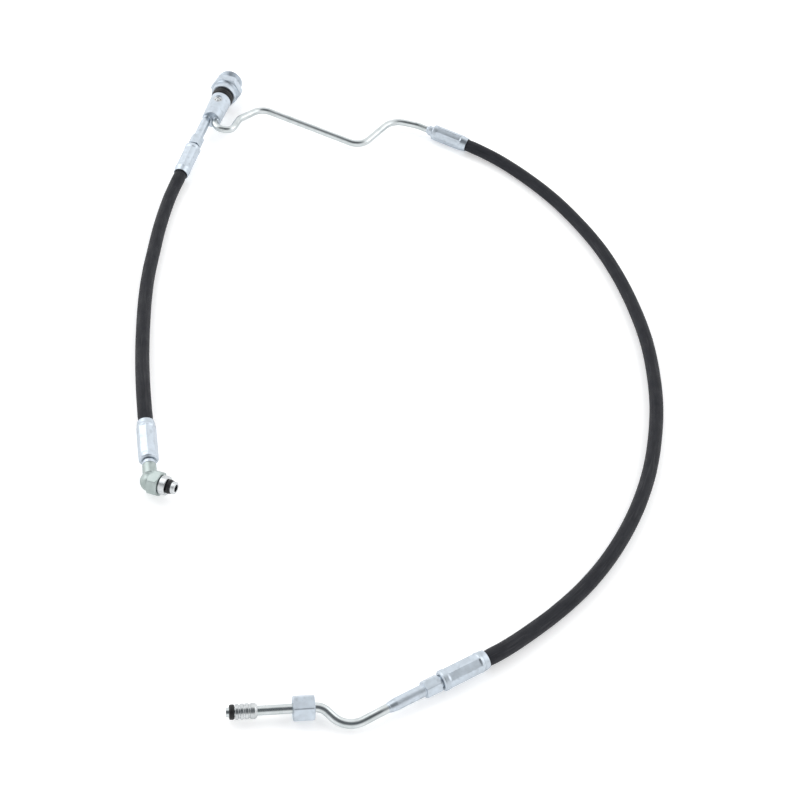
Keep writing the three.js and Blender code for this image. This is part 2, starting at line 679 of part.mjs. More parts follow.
function endSleeve() {
  const grooveRadius = SLEEVE_RADIUS - SLEEVE_GROOVE_DEPTH;
  const slope = CHAMFER / 2;
  const lastGroove = SLEEVE_END - SLEEVE_TAPER_LENGTH - SLEEVE_GROOVE_LENGTH;
  const grooves = [];
  for (let start = SLEEVE_START + END_NOSE_LENGTH; start < lastGroove; start += SLEEVE_GROOVE_PITCH) {
    const end = start + SLEEVE_GROOVE_LENGTH;
    grooves.push([SLEEVE_RADIUS, start], [grooveRadius, start + slope]);
    grooves.push([grooveRadius, end - slope], [SLEEVE_RADIUS, end]);
  }
  const bore = TUBE_RADIUS + SLIP;
  return turned([
    [bore, SLEEVE_START],
    [SLEEVE_RADIUS - CHAMFER, SLEEVE_START],
    [SLEEVE_RADIUS, SLEEVE_START + CHAMFER],
    ...grooves,
    [SLEEVE_RADIUS, SLEEVE_END - SLEEVE_TAPER_LENGTH],
    [SLEEVE_RADIUS - SLEEVE_TAPER_DEPTH, SLEEVE_END],
    [bore, SLEEVE_END],
    [bore, SLEEVE_START],
  ], FINE);
}

function tubeNut() {
  return carve(hexPrism(NUT_FLATS, NUT_START, NUT_END, NUT_CHAMFER), [], [
    rod(NUT_THREAD_RADIUS, NUT_START - PAST, NUT_END - NUT_BACK_WALL, FINE),
    rod(TUBE_RADIUS + SLIP, NUT_START, NUT_END + PAST, FINE),
  ]);
}

function tubeEndParts() {
  const group = station(TUBE_END.mouth, TUBE_END.heading);
  const ringEnd = END_NOSE_LENGTH + END_RING_LENGTH;
  const endRing = softRing(TUBE_RADIUS + GAP, END_RING_RADIUS, END_NOSE_LENGTH, ringEnd);
  const washerEnd = NUT_END - NUT_BACK_WALL - GAP;
  const washerStart = washerEnd - WASHER_THICKNESS;
  const washer = turnedRing(TUBE_RADIUS + SLIP, NUT_THREAD_RADIUS - SLIP, washerStart, washerEnd, FINE);
  group.add(
    piece('tube_end_sleeve', endSleeve(), BRIGHT_STEEL),
    piece('tube_end_o_ring', endRing, SEAL),
    piece('tube_nut', tubeNut(), ZINC),
    piece('tube_nut_washer', washer, STEEL),
  );
  return group;
}

// Tubes, each from inside one socket to inside the next

/** A point on a manifold port's axis, at a distance out of the body. */
function outOfPort(side, distance) {
  const forward = new THREE.Vector3(...MANIFOLD_HEADING).normalize();
  const across = forward.clone().cross(new THREE.Vector3(0, 0, 1));
  const point = new THREE.Vector3(...MANIFOLD_AT).addScaledVector(across, side * PORT_OFFSET);
  return point.addScaledVector(forward, -distance).toArray();
}

const INSERTED = SOCKET_DEPTH - CHAMFER;

function leftStemTube() {
  return bentPath([
    outOfPort(-1, -INSERTED),
    [...outOfPort(-1, 0), 30],
    along(LEFT_UPPER, LONG_NIPPLE_END - INSERTED),
  ]);
}

/** Leaves the manifold backwards, turns round on itself and crosses over to the long hose. */
function crossoverTube() {
  return bentPath([
    outOfPort(1, -INSERTED),
    [...outOfPort(1, 15), 12.4],
    [-199, 380, 19.5, 12.4],
    [-194, 412, 18.5, 20],
    [-168, 447, 17, 22],
    [-11.4, 412.2, 8.5, 24],
    [25.1, 478.9, 14.5, 34],
    [...along(RIGHT_UPPER, SHORT_NIPPLE_END + 19), 26],
    along(RIGHT_UPPER, SHORT_NIPPLE_END - INSERTED),
  ]);
}

function lowerTube() {
  return bentPath([
    TUBE_END.mouth,
    [...along(TUBE_END, NUT_END + 7.5), 16],
    [118, -488, 7, 28],
    [...along(RIGHT_LOWER, LONG_NIPPLE_END + 9.5), 40],
    along(RIGHT_LOWER, LONG_NIPPLE_END - INSERTED),
  ]);
}

function tubes() {
  const group = new THREE.Group();
  const routes = [
    ['left_stem_tube', leftStemTube()],
    ['crossover_tube', crossoverTube()],
    ['lower_tube', lowerTube()],
  ];
  const outside = circlePoints(TUBE_RADIUS, TUBE_SIDES);
  const bore = circlePoints(TUBE_BORE_RADIUS, TUBE_BORE_SIDES);
  for (const [name, route] of routes) {
    group.add(piece(name, pipe(route, outside, bore, TUBE_STEP), ZINC));
  }
  return group;
}

// Hoses, each from the bottom of one ferrule to the bottom of the next

const LEFT_ROUTE = [
  [-249.4, 250, 9.6],
  [-250.2, 220, 8.8],
  [-248.1, 170.6, 8.7],
  [-243.6, 123.9, 8.7],
  [-238.5, 79, 8.7],
  [-231.2, 36.3, 8.7],
  [-221.8, -6, 9.0],
  [-211.3, -47.8, 10.6],
  [-199.6, -88.6, 13.4],
  [-187.6, -126.4, 16.2],
];

const RIGHT_ROUTE = [
  [165, 447.9, 11.0],
  [197.5, 433.6, 9.4],
  [241.3, 404.5, 8.7],
  [282.2, 369.2, 8.7],
  [319.4, 327.5, 8.7],
  [352.8, 281.1, 8.7],
  [379.5, 230.9, 8.7],
  [401.1, 177.6, 8.7],
  [417.9, 121.9, 8.7],
  [427.4, 67, 8.7],
  [431.8, 11.8, 8.7],
  [430, -42.4, 8.7],
  [423.4, -95.3, 8.7],
  [411.3, -145.6, 8.7],
  [394.9, -191.9, 8.7],
  [374.9, -234.6, 8.7],
  [351.1, -274, 8.7],
  [324.7, -308.8, 8.8],
  [297.8, -339.1, 9.4],
  [268.5, -369, 11.2],
];

/** A free hose between two fittings, straight for as long as the ferrules hold it. */
function hoseCurve(first, route, last) {
  const points = [
    along(first, HOSE_DEPTH),
    along(first, HOSE_DEPTH / 2),
    first.mouth,
    ...route,
    last.mouth,
    along(last, HOSE_DEPTH / 2),
    along(last, HOSE_DEPTH),
  ];
  return new THREE.CatmullRomCurve3(points.map((point) => new THREE.Vector3(...point)));
}

function hoses() {
  const group = new THREE.Group();
  const routes = [
    ['left_hose', hoseCurve(LEFT_UPPER, LEFT_ROUTE, LEFT_LOWER)],
    ['right_hose', hoseCurve(RIGHT_UPPER, RIGHT_ROUTE, RIGHT_LOWER)],
  ];
  const outside = circlePoints(HOSE_RADIUS, HOSE_SIDES);
  const bore = circlePoints(HOSE_BORE_RADIUS, HOSE_SIDES);
  for (const [name, route] of routes) {
    group.add(piece(name, pipe(route, outside, bore, HOSE_STEP), RUBBER));
  }
  return group;
}

const assembly = new THREE.Group();
assembly.add(manifoldParts(), hoseFittings(), elbowParts(), tubeEndParts(), tubes(), hoses());

export default assembly;
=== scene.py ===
# Looks of the hydraulic hose assembly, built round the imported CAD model. Places are in metres, in
# the CAD model's frame. Turned profiles are in millimetres along their own axis, and MM turns them
# into metres.
import json
import math

import bmesh
import bpy
import numpy as np
from mathutils import Matrix, Vector


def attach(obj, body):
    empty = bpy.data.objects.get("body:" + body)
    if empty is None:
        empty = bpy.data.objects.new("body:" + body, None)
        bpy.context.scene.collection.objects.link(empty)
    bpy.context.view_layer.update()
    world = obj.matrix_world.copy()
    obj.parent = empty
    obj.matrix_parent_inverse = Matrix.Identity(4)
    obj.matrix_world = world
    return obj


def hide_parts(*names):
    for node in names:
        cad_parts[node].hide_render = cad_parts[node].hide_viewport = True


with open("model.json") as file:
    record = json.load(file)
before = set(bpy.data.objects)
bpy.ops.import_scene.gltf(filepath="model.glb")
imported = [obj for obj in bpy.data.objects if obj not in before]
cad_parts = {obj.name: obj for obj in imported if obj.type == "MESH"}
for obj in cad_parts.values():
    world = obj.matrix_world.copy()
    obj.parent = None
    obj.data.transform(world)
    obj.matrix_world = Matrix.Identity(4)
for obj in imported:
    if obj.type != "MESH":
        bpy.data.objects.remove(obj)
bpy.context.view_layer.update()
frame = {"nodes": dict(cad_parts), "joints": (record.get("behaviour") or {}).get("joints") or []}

MM = 0.001
TURN = 2 * math.pi
ROOT = "hose_assembly"

# Camera: where it stands, and how far it looks down and leans
CAMERA_AT = (0.112, -1.0, 1.1387)
CAMERA_DOWN = math.radians(50.1)
CAMERA_LEAN = math.radians(10.246)
CAMERA_LENS = 54
SENSOR_WIDTH = 36

# Clearances between pieces and the sharpest angle that shades smoothly, in millimetres and radians
GAP = 0.3
SLIP = 0.15
SHARP_ANGLE = math.radians(32)

# Hose and tube sizes, in millimetres
HOSE_RADIUS = 8.7
HOSE_BORE_RADIUS = 5.2
HOSE_DEPTH = 46
TUBE_RADIUS = 5
TUBE_BORE_RADIUS = 3.6
TUBE_SOCKET_RADIUS = TUBE_RADIUS + SLIP
SOCKET_DEPTH = 11.2
PASSAGE_RADIUS = 3

# The hoses' routes between the ferrules' mouths, as in the CAD model
LEFT_ROUTE = [
    (-0.2494, 0.250, 0.0096),
    (-0.2502, 0.220, 0.0088),
    (-0.2481, 0.1706, 0.0087),
    (-0.2436, 0.1239, 0.0087),
    (-0.2385, 0.079, 0.0087),
    (-0.2312, 0.0363, 0.0087),
    (-0.2218, -0.006, 0.0090),
    (-0.2113, -0.0478, 0.0106),
    (-0.1996, -0.0886, 0.0134),
    (-0.1876, -0.1264, 0.0162),
]
RIGHT_ROUTE = [
    (0.165, 0.4479, 0.0110),
    (0.1975, 0.4336, 0.0094),
    (0.2413, 0.4045, 0.0087),
    (0.2822, 0.3692, 0.0087),
    (0.3194, 0.3275, 0.0087),
    (0.3528, 0.2811, 0.0087),
    (0.3795, 0.2309, 0.0087),
    (0.4011, 0.1776, 0.0087),
    (0.4179, 0.1219, 0.0087),
    (0.4274, 0.067, 0.0087),
    (0.4318, 0.0118, 0.0087),
    (0.430, -0.0424, 0.0087),
    (0.4234, -0.0953, 0.0087),
    (0.4113, -0.1456, 0.0087),
    (0.3949, -0.1919, 0.0087),
    (0.3749, -0.2346, 0.0087),
    (0.3511, -0.274, 0.0087),
    (0.3247, -0.3088, 0.0088),
    (0.2978, -0.3391, 0.0094),
    (0.2685, -0.369, 0.0112),
]

# The bent tubes' corners that no fitting gives: a point and the bend's radius, as in the CAD model
CROSSOVER_CORNERS = [
    ((-0.199, 0.380, 0.0195), 0.0124),
    ((-0.194, 0.412, 0.0185), 0.020),
    ((-0.168, 0.447, 0.017), 0.022),
    ((-0.0114, 0.4122, 0.0085), 0.024),
    ((0.0251, 0.4789, 0.0145), 0.034),
]
LOWER_CORNER = ((0.118, -0.488, 0.007), 0.028)


# Places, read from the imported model


def station(point, heading):
    """A frame whose +Z runs along a heading, with +Y as near to straight up as it can be."""
    forward = Vector(heading).normalized()
    side = Vector((0, 0, 1)).cross(forward).normalized()
    matrix = Matrix((side, forward.cross(side), forward)).transposed().to_4x4()
    matrix.translation = point
    return matrix


def joint_station(name):
    """A frame on a joint's axis."""
    joint = next(joint for joint in frame["joints"] if joint["name"] == name)
    return station(joint["pos_m"], joint["axis"])


def node_points(node):
    """A CAD node's corners, each counted once."""
    corners = [vertex.co for vertex in frame["nodes"][node].data.vertices]
    return np.unique(np.round(corners, 6), axis=0)


def fitting_station(place):
    """The frame at a ferrule's mouth, looking along the fitting and away from the hose."""
    points = node_points(f"{place}_ferrule")
    centre = points.mean(0)
    direction = np.linalg.eigh(np.cov((points - centre).T))[1][:, -1]
    nipple = node_points(f"{place}_nipple")
    if (nipple @ direction).max() < (points @ direction).max():
        direction = -direction
    mouth = centre + direction * ((points - centre) @ direction).min()
    return station(Vector(mouth), Vector(direction))


def along(place, distance):
    """The point on a station's axis at a distance in millimetres."""
    return place @ Vector((0, 0, distance * MM))


MANIFOLD = joint_station("swivel_nut_spin")
TUBE_END = joint_station("tube_nut_spin")
FITTING_PLACES = ("left_upper", "left_lower", "right_upper", "right_lower")
FITTINGS = {place: fitting_station(place) for place in FITTING_PLACES}


def outlet_station():
    """The stud's axis, with +Y square to the plane that the elbow bends in."""
    stud = joint_station("port_stud_spin")
    outlet = stud.col[2].to_3d()
    across = FITTINGS["left_lower"].col[2].to_3d().cross(outlet).normalized()
    matrix = Matrix((across.cross(outlet), across, outlet)).transposed().to_4x4()
    matrix.translation = stud.translation
    return matrix


OUTLET = outlet_station()


# Camera, floor and light


def put_in_scene(thing):
    """Links an object to the scene, so that it shows."""
    bpy.context.scene.collection.objects.link(thing)


def make_camera():
    """The photographer's view: over the lower edge, looking down, and leaning a little."""
    data = bpy.data.cameras.new("camera")
    data.lens = CAMERA_LENS
    data.sensor_width = SENSOR_WIDTH
    camera = bpy.data.objects.new("camera", data)
    tilt = Matrix.Rotation(math.pi / 2 - CAMERA_DOWN, 4, "X")
    camera.matrix_world = Matrix.Translation(CAMERA_AT) @ tilt @ Matrix.Rotation(CAMERA_LEAN, 4, "Z")
    put_in_scene(camera)
    bpy.context.scene.camera = camera


def make_floor(finish):
    """A wide pale floor under the assembly."""
    half_width = 8
    mesh = bpy.data.meshes.new("floor")
    corners = [(x * half_width, y * half_width, 0) for x, y in ((-1, -1), (1, -1), (1, 1), (-1, 1))]
    mesh.from_pydata(corners, [], [(0, 1, 2, 3)])
    mesh.materials.append(finish)
    floor = bpy.data.objects.new("floor", mesh)
    put_in_scene(floor)


def soft_light(name, at, size, power):
    """A large square lamp that looks at the middle of the assembly."""
    data = bpy.data.lights.new(name, "AREA")
    data.size = size
    data.energy = power
    lamp = bpy.data.objects.new(name, data)
    lamp.location = at
    lamp.rotation_euler = (-Vector(at)).to_track_quat("-Z", "Y").to_euler()
    put_in_scene(lamp)


def make_studio():
    """A white tent with a dim opening over the lower edge, and two large soft lamps."""
    opening_up = math.radians(69)
    opening_edge, opening_middle = 0.56, 0.97
    lamp_size = 2.4
    world = bpy.data.worlds.new("studio")
    bpy.context.scene.world = world
    world.use_nodes = True
    tree = world.node_tree
    place = tree.nodes.new("ShaderNodeTexCoord")
    nearness = tree.nodes.new("ShaderNodeVectorMath")
    nearness.operation = "DOT_PRODUCT"
    nearness.inputs[1].default_value = (0, -math.cos(opening_up), math.sin(opening_up))
    ramp = tree.nodes.new("ShaderNodeValToRGB")
    tree.links.new(place.outputs["Generated"], nearness.inputs[0])
    tree.links.new(nearness.outputs["Value"], ramp.inputs["Fac"])
    tree.links.new(ramp.outputs["Color"], tree.nodes["Background"].inputs["Color"])
    ramp.color_ramp.interpolation = "EASE"
    ramp.color_ramp.elements[0].color = (1.0, 1.0, 1.0, 1)
    ramp.color_ramp.elements[0].position = opening_edge
    ramp.color_ramp.elements[1].color = (0.10, 0.11, 0.12, 1)
    ramp.color_ramp.elements[1].position = opening_middle
    tree.nodes["Background"].inputs["Strength"].default_value = 1.3
    soft_light("left_lamp", (-1.8, 0.5, 1.7), lamp_size, power=20)
    soft_light("right_lamp", (1.9, 0.8, 1.8), lamp_size, power=14)
    bpy.context.scene.view_settings.view_transform = "Standard"


# Materials


class Finish:
    """A Principled material under construction, with short names for the nodes that it needs."""

    def __init__(self, name, color, metallic, roughness):
        self.material = bpy.data.materials.new(name)
        self.material.use_nodes = True
        self.tree = self.material.node_tree
        self.shader = self.tree.nodes["Principled BSDF"]
        self.shader.inputs["Base Color"].default_value = (*color, 1)
        self.shader.inputs["Metallic"].default_value = metallic
        self.shader.inputs["Roughness"].default_value = roughness

    def add(self, kind, inputs=(), **settings):
        """A node with some of its sockets linked, or set to plain numbers."""
        node = self.tree.nodes.new(kind)
        for key, value in settings.items():
            setattr(node, key, value)
        for socket, value in inputs:
            if isinstance(value, bpy.types.NodeSocket):
                self.tree.links.new(value, node.inputs[socket])
            else:
                node.inputs[socket].default_value = value
        return node

    def math(self, operation, first, second=0.0):
        """A sum or other operation on two values."""
        return self.add("ShaderNodeMath", [(0, first), (1, second)], operation=operation).outputs[0]

    def wrapped(self, around, along_axis):
        """Seamless coordinates on a turned or swept surface: round it and along it."""
        uv = self.add("ShaderNodeUVMap", uv_map="along").outputs[0]
        split = self.add("ShaderNodeSeparateXYZ", [(0, uv)])
        angle = self.math("MULTIPLY", split.outputs[0], TURN)
        cosine = self.math("MULTIPLY", self.math("COSINE", angle), around)
        sine = self.math("MULTIPLY", self.math("SINE", angle), around)
        length = self.math("MULTIPLY", split.outputs[1], along_axis)
        return self.add("ShaderNodeCombineXYZ", [(0, cosine), (1, sine), (2, length)]).outputs[0]

    def solid(self):
        """Coordinates in metres through the whole piece."""
        return self.add("ShaderNodeTexCoord").outputs["Object"]

    def noise(self, scale, detail, place=None):
        """A noise value over some coordinates, or through the whole piece."""
        inputs = [("Vector", place or self.solid()), ("Scale", scale), ("Detail", detail)]
        return self.add("ShaderNodeTexNoise", inputs).outputs["Fac"]

    def spread(self, value, low, high):
        """A noise value stretched from its usual middle range to a new one."""
        usual = [("From Min", 0.3), ("From Max", 0.7)]
        inputs = [("Value", value), *usual, ("To Min", low), ("To Max", high)]
        return self.add("ShaderNodeMapRange", inputs).outputs[0]

    def patches(self, scale, place=None):
        """1 inside scattered blotches with soft rims, and 0 between them."""
        value = self.noise(scale, detail=8.0, place=place)
        blotch_edge = [("From Min", 0.56), ("From Max", 0.68)]
        inputs = [("Value", value), *blotch_edge]
        return self.add("ShaderNodeMapRange", inputs).outputs[0]

    def tint(self, value, *colors):
        """A colour between two colours or colour sockets, by a value from 0 to 1."""
        ends = [color if isinstance(color, bpy.types.NodeSocket) else (*color, 1) for color in colors]
        inputs = [(0, value), (6, ends[0]), (7, ends[1])]
        return self.add("ShaderNodeMix", inputs, data_type="RGBA").outputs[2]

    def set(self, socket, value):
        """Links a value or colour to a socket of the shader."""
        self.tree.links.new(value, self.shader.inputs[socket])

    def bump(self, height, depth, after=None):
        """Relief of a depth in millimetres, on top of another."""
        inputs = [("Height", height), ("Distance", depth * MM), ("Strength", 1.0)]
        node = self.add("ShaderNodeBump", inputs)
        if after is not None:
            self.tree.links.new(after, node.inputs["Normal"])
        self.tree.links.new(node.outputs[0], self.shader.inputs["Normal"])
        return node.outputs[0]


def drawn_tube_finish():
    """Bright zinc on cold-drawn tube: long faint draw lines, and a mottled blue-white plating."""
    finish = Finish("bright_zinc_tube", (0.56, 0.59, 0.59), 1.0, 0.22)
    mottle = finish.spread(finish.noise(scale=90, detail=4), 0, 1)
    finish.set("Base Color", finish.tint(mottle, (0.48, 0.52, 0.525), (0.60, 0.63, 0.64)))
    lines = finish.noise(scale=1, detail=2, place=finish.wrapped(around=16, along_axis=22))
    finish.set("Roughness", finish.spread(lines, 0.18, 0.3))
    relief = finish.bump(lines, depth=0.006)
    finish.bump(finish.noise(scale=260, detail=2), depth=0.012, after=relief)
    return finish.material


def turned_zinc_finish(name, dark, light, smooth, rough):
    """Satin zinc over turned steel: fine tool rings, cloudy plating and a little handling wear."""
    finish = Finish(name, light, 1.0, smooth)
    cloud = finish.noise(scale=140, detail=5)
    worn = finish.patches(scale=150)
    plating = finish.tint(finish.spread(cloud, 0, 1), dark, light)
    dull = tuple(0.82 * part for part in dark)
    half_worn = finish.math("MULTIPLY", worn, 0.5)
    finish.set("Base Color", finish.tint(half_worn, plating, dull))
    rings = finish.noise(scale=1, detail=2, place=finish.wrapped(around=0.4, along_axis=2600))
    sheen = finish.spread(finish.math("MAXIMUM", rings, cloud), smooth, rough)
    finish.set("Roughness", finish.math("ADD", sheen, finish.math("MULTIPLY", worn, 0.1)))
    grain = finish.noise(scale=1100, detail=3)
    finish.bump(grain, depth=0.02, after=finish.bump(rings, depth=0.02))
    return finish.material


def forged_zinc_finish():
    """Zinc over a forging: a soft uneven skin without tool rings."""
    finish = Finish("forged_zinc", (0.46, 0.51, 0.505), 1.0, 0.4)
    cloud = finish.noise(scale=120, detail=5)
    worn = finish.patches(scale=110)
    plating = finish.tint(finish.spread(cloud, 0, 1), (0.30, 0.35, 0.34), (0.41, 0.465, 0.455))
    finish.set("Base Color", finish.tint(worn, plating, (0.24, 0.28, 0.275)))
    finish.set("Roughness", finish.spread(cloud, 0.3, 0.44))
    skin_grain = finish.noise(scale=420, detail=4)
    finish.bump(skin_grain, depth=0.05)
    return finish.material


def hose_finish():
    """Black rubber cover with the print of its curing cloth: a fine weave and soft scuffs."""
    finish = Finish("hose_cover_rubber", (0.012, 0.013, 0.016), 0.0, 0.6)
    finish.shader.inputs["Specular IOR Level"].default_value = 0.27
    uv = finish.add("ShaderNodeUVMap", uv_map="along").outputs[0]
    split = finish.add("ShaderNodeSeparateXYZ", [(0, uv)])
    threads = 44
    round_it = finish.math("MULTIPLY", split.outputs[0], threads * TURN)
    along_it = finish.math("MULTIPLY", split.outputs[1], threads / HOSE_RADIUS / MM)
    warp = finish.math("SINE", finish.math("ADD", round_it, along_it))
    weft = finish.math("SINE", finish.math("SUBTRACT", round_it, along_it))
    weave = finish.math("MAXIMUM", warp, weft)
    cloud = finish.noise(scale=60, detail=5)
    dust = finish.noise(scale=1, detail=4, place=finish.wrapped(around=3, along_axis=60))
    dust = finish.spread(dust, 0, 1)
    rubber = finish.tint(dust, (0.006, 0.007, 0.011), (0.014, 0.0155, 0.021))
    scuffs = finish.patches(scale=1, place=finish.wrapped(around=4, along_axis=26))
    finish.set("Base Color", finish.tint(scuffs, rubber, (0.026, 0.027, 0.032)))
    finish.set("Roughness", finish.spread(cloud, 0.5, 0.68))
    finish.bump(cloud, depth=0.15, after=finish.bump(weave, depth=0.07))
    return finish.material


def seal_finish(name, color, smooth, rough):
    """Moulded rubber or plastic with a slight bloom."""
    finish = Finish(name, color, 0.0, smooth)
    finish.shader.inputs["Specular IOR Level"].default_value = 0.3
    bloom = finish.noise(scale=300, detail=4)
    finish.set("Base Color", finish.tint(bloom, color, tuple(1.5 * part for part in color)))
    finish.set("Roughness", finish.spread(bloom, smooth, rough))
    finish.bump(finish.noise(scale=1400, detail=2), depth=0.01)
    return finish.material


def floor_finish():
    """The white top of a light table."""
    finish = Finish("lit_white_acrylic", (0.94, 0.94, 0.94), 0.0, 0.8)
    finish.shader.inputs["Specular IOR Level"].default_value = 0.1
    finish.shader.inputs["Emission Color"].default_value = (1, 1, 1, 1)
    finish.shader.inputs["Emission Strength"].default_value = 0.3
    grain = finish.noise(scale=40, detail=3)
    finish.set("Base Color", finish.tint(grain, (0.93, 0.93, 0.935), (0.95, 0.95, 0.95)))
    return finish.material


TUBE_ZINC = drawn_tube_finish()
SATIN_ZINC = turned_zinc_finish("satin_zinc", (0.45, 0.50, 0.55), (0.54, 0.60, 0.665), 0.27, 0.42)
BRIGHT_ZINC = turned_zinc_finish("bright_turned_steel", (0.46, 0.48, 0.49), (0.60, 0.62, 0.63), 0.16, 0.3)
FORGED_ZINC = forged_zinc_finish()
HOSE_RUBBER = hose_finish()
SEAL_RUBBER = seal_finish("nitrile_rubber", (0.008, 0.008, 0.009), 0.3, 0.5)
RING_PLASTIC = seal_finish("backup_ring_plastic", (0.02, 0.02, 0.022), 0.4, 0.6)


# Mesh building


def shade(work):
    """Smooth faces in a bmesh, with its corners left sharp."""
    for face in work.faces:
        face.smooth = True
    for edge in work.edges:
        edge.smooth = len(edge.link_faces) == 2 and edge.calc_face_angle() < SHARP_ANGLE


def lay_out(name, work, place):
    """Turns a bmesh into an object with smooth faces, sharp edges and weighted normals."""
    bmesh.ops.recalc_face_normals(work, faces=work.faces)
    shade(work)
    mesh = bpy.data.meshes.new(name)
    work.to_mesh(mesh)
    work.free()
    mesh.transform(place)
    piece = bpy.data.objects.new(name, mesh)
    put_in_scene(piece)
    piece.modifiers.new("even_normals", "WEIGHTED_NORMAL").keep_sharp = True
    return piece


def skin(rings, turns, lengths, closed=False):
    """A bmesh through rings of points. turns and lengths are the UVs round and along it."""
    one_point = 1e-9
    work = bmesh.new()
    uv = work.loops.layers.uv.new("along")
    count = len(turns)
    made = []
    for ring in rings:
        if (np.ptp(ring, axis=0) < one_point).all():
            made.append([work.verts.new(ring[0])] * count)
        else:
            made.append([work.verts.new(point) for point in ring])
    pairs = [(i, i + 1) for i in range(len(made) - 1)]
    if closed:
        pairs.append((len(made) - 1, 0))
    for low, high in pairs:
        for j in range(count):
            k = (j + 1) % count
            end = turns[k] if k else 1.0
            corners = {}
            for vertex, u, v in (
                (made[low][j], turns[j], lengths[low]),
                (made[low][k], end, lengths[low]),
                (made[high][k], end, lengths[high]),
                (made[high][j], turns[j], lengths[high]),
            ):
                corners.setdefault(vertex, (u, v))
            if len(corners) > 2:
                face = work.faces.new(corners)
                for loop in face.loops:
                    loop[uv].uv = corners[loop.vert]
    return work


def rounded(profile, segments=3):
    """The profile with each corner that has a third number rounded to that radius."""
    longest_share = 0.45
    points = []
    for i, corner in enumerate(profile):
        here = Vector(corner[:2])
        if len(corner) < 3:
            points.append(tuple(here))
            continue
        before = Vector(profile[i - 1][:2]) - here
        after = Vector(profile[(i + 1) % len(profile)][:2]) - here
        half = before.angle(after) / 2
        room = longest_share * min(before.length, after.length)
        setback = min(corner[2] / math.tan(half), room)
        start = here + before.normalized() * setback
        end = here + after.normalized() * setback
        for step in range(segments + 1):
            t = step / segments
            points.append(tuple(start * (1 - t) ** 2 + here * 2 * t * (1 - t) + end * t**2))
    return points


def even_angles(sides):
    """Angles evenly round a circle."""
    return np.arange(sides) * TURN / sides


def lathe(name, rows, angles, place, closed):
    """A piece through rows of radii and heights, one pair for each angle, in millimetres."""
    rings = []
    lengths = [0.0]
    for radii, heights in rows:
        radii = np.broadcast_to(radii, angles.shape)
        heights = np.broadcast_to(heights, angles.shape)
        ring = np.stack([radii * np.cos(angles), radii * np.sin(angles), heights], 1) * MM
        if rings:
            lengths.append(lengths[-1] + float(np.linalg.norm(ring - rings[-1], axis=1).mean()))
        rings.append(ring)
    return lay_out(name, skin(rings, angles / TURN, lengths, closed), place)


def turned(name, profile, place, sides=96, closed=False):
    """A turned piece from [radius, height, corner radius] rows. A closed one has a bore."""
    return lathe(name, rounded(profile), even_angles(sides), place, closed)


def hex_angles(flats, corner_cut, steps=12):
    """Angles that meet a hexagon's flats exactly where its corners are turned off."""
    corner_radius = flats / math.sqrt(3) - corner_cut
    half_corner = math.pi / 6 - math.acos(flats / 2 / corner_radius)
    offsets = np.linspace(half_corner, math.pi / 3 - half_corner, steps + 1)
    return np.concatenate([sector * math.pi / 3 + np.append(0.0, offsets) for sector in range(6)])


def hex_radii(angles, flats, corner_cut):
    """Distance from the axis to a hexagon's side at each angle. The flats face +Y and -Y."""
    across = np.mod(angles, math.pi / 3) - math.pi / 6
    return np.minimum(flats / 2 / np.cos(across), flats / math.sqrt(3) - corner_cut)


def hex_rows(angles, flats, corner_cut, low, high, chamfer):
    """Rows for the outside of a hexagon with both ends turned to a cone."""
    face_share = 0.97
    radii = hex_radii(angles, flats, corner_cut)
    face_radius = flats / 2 * face_share
    slope = chamfer / (flats / math.sqrt(3) - face_radius)
    drop = (radii - face_radius) * slope
    return [(face_radius, low), (radii, low + drop), (radii, high - drop), (face_radius, high)]


def thread_rows(angles, crest, root, pitch, low, high, steps=8):
    """Rows of a right-hand thread that fades in and out over its first and last turns."""
    flank_slope, root_flat = 2.4, 0.1
    fade_length = 0.6 * pitch
    rows = []
    count = round((high - low) / pitch * steps)
    for height in np.linspace(low, high, count + 1):
        phase = np.mod(height / pitch - angles / TURN, 1.0)
        tooth = np.clip(flank_slope * np.minimum(phase, 1 - phase) - root_flat, 0, 1)
        fade = np.clip(min(height - low, high - height) / fade_length, 0, 1)
        rows.append((crest - (crest - root) * tooth * fade, height))
    return rows


def evaluated(piece):
    """Applies a piece's modifiers to its mesh."""
    graph = bpy.context.evaluated_depsgraph_get()
    mesh = bpy.data.meshes.new_from_object(piece.evaluated_get(graph))
    piece.modifiers.clear()
    piece.data = mesh


def merge(name, pieces):
    """One object that holds several pieces' meshes."""
    work = bmesh.new()
    for piece in pieces:
        work.from_mesh(piece.data)
        bpy.data.objects.remove(piece)
    return lay_out(name, work, Matrix())


def cut(piece, cutters):
    """Takes some solids out of a piece and removes them."""
    piece.modifiers.clear()
    for cutter in cutters:
        cutter.modifiers.clear()
        modifier = piece.modifiers.new("cut", "BOOLEAN")
        modifier.operation = "DIFFERENCE"
        modifier.solver = "EXACT"
        modifier.object = cutter
    evaluated(piece)
    for cutter in cutters:
        bpy.data.objects.remove(cutter)
    work = bmesh.new()
    work.from_mesh(piece.data)
    shade(work)
    work.to_mesh(piece.data)
    work.free()
    piece.modifiers.new("even_normals", "WEIGHTED_NORMAL").keep_sharp = True


def show(piece, finish, node, body=ROOT):
    """Gives a piece its material and body, and puts it in the place of a CAD node."""
    piece.data.materials.append(finish)
    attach(piece, body)
    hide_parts(node)
    return piece


# Swept pieces


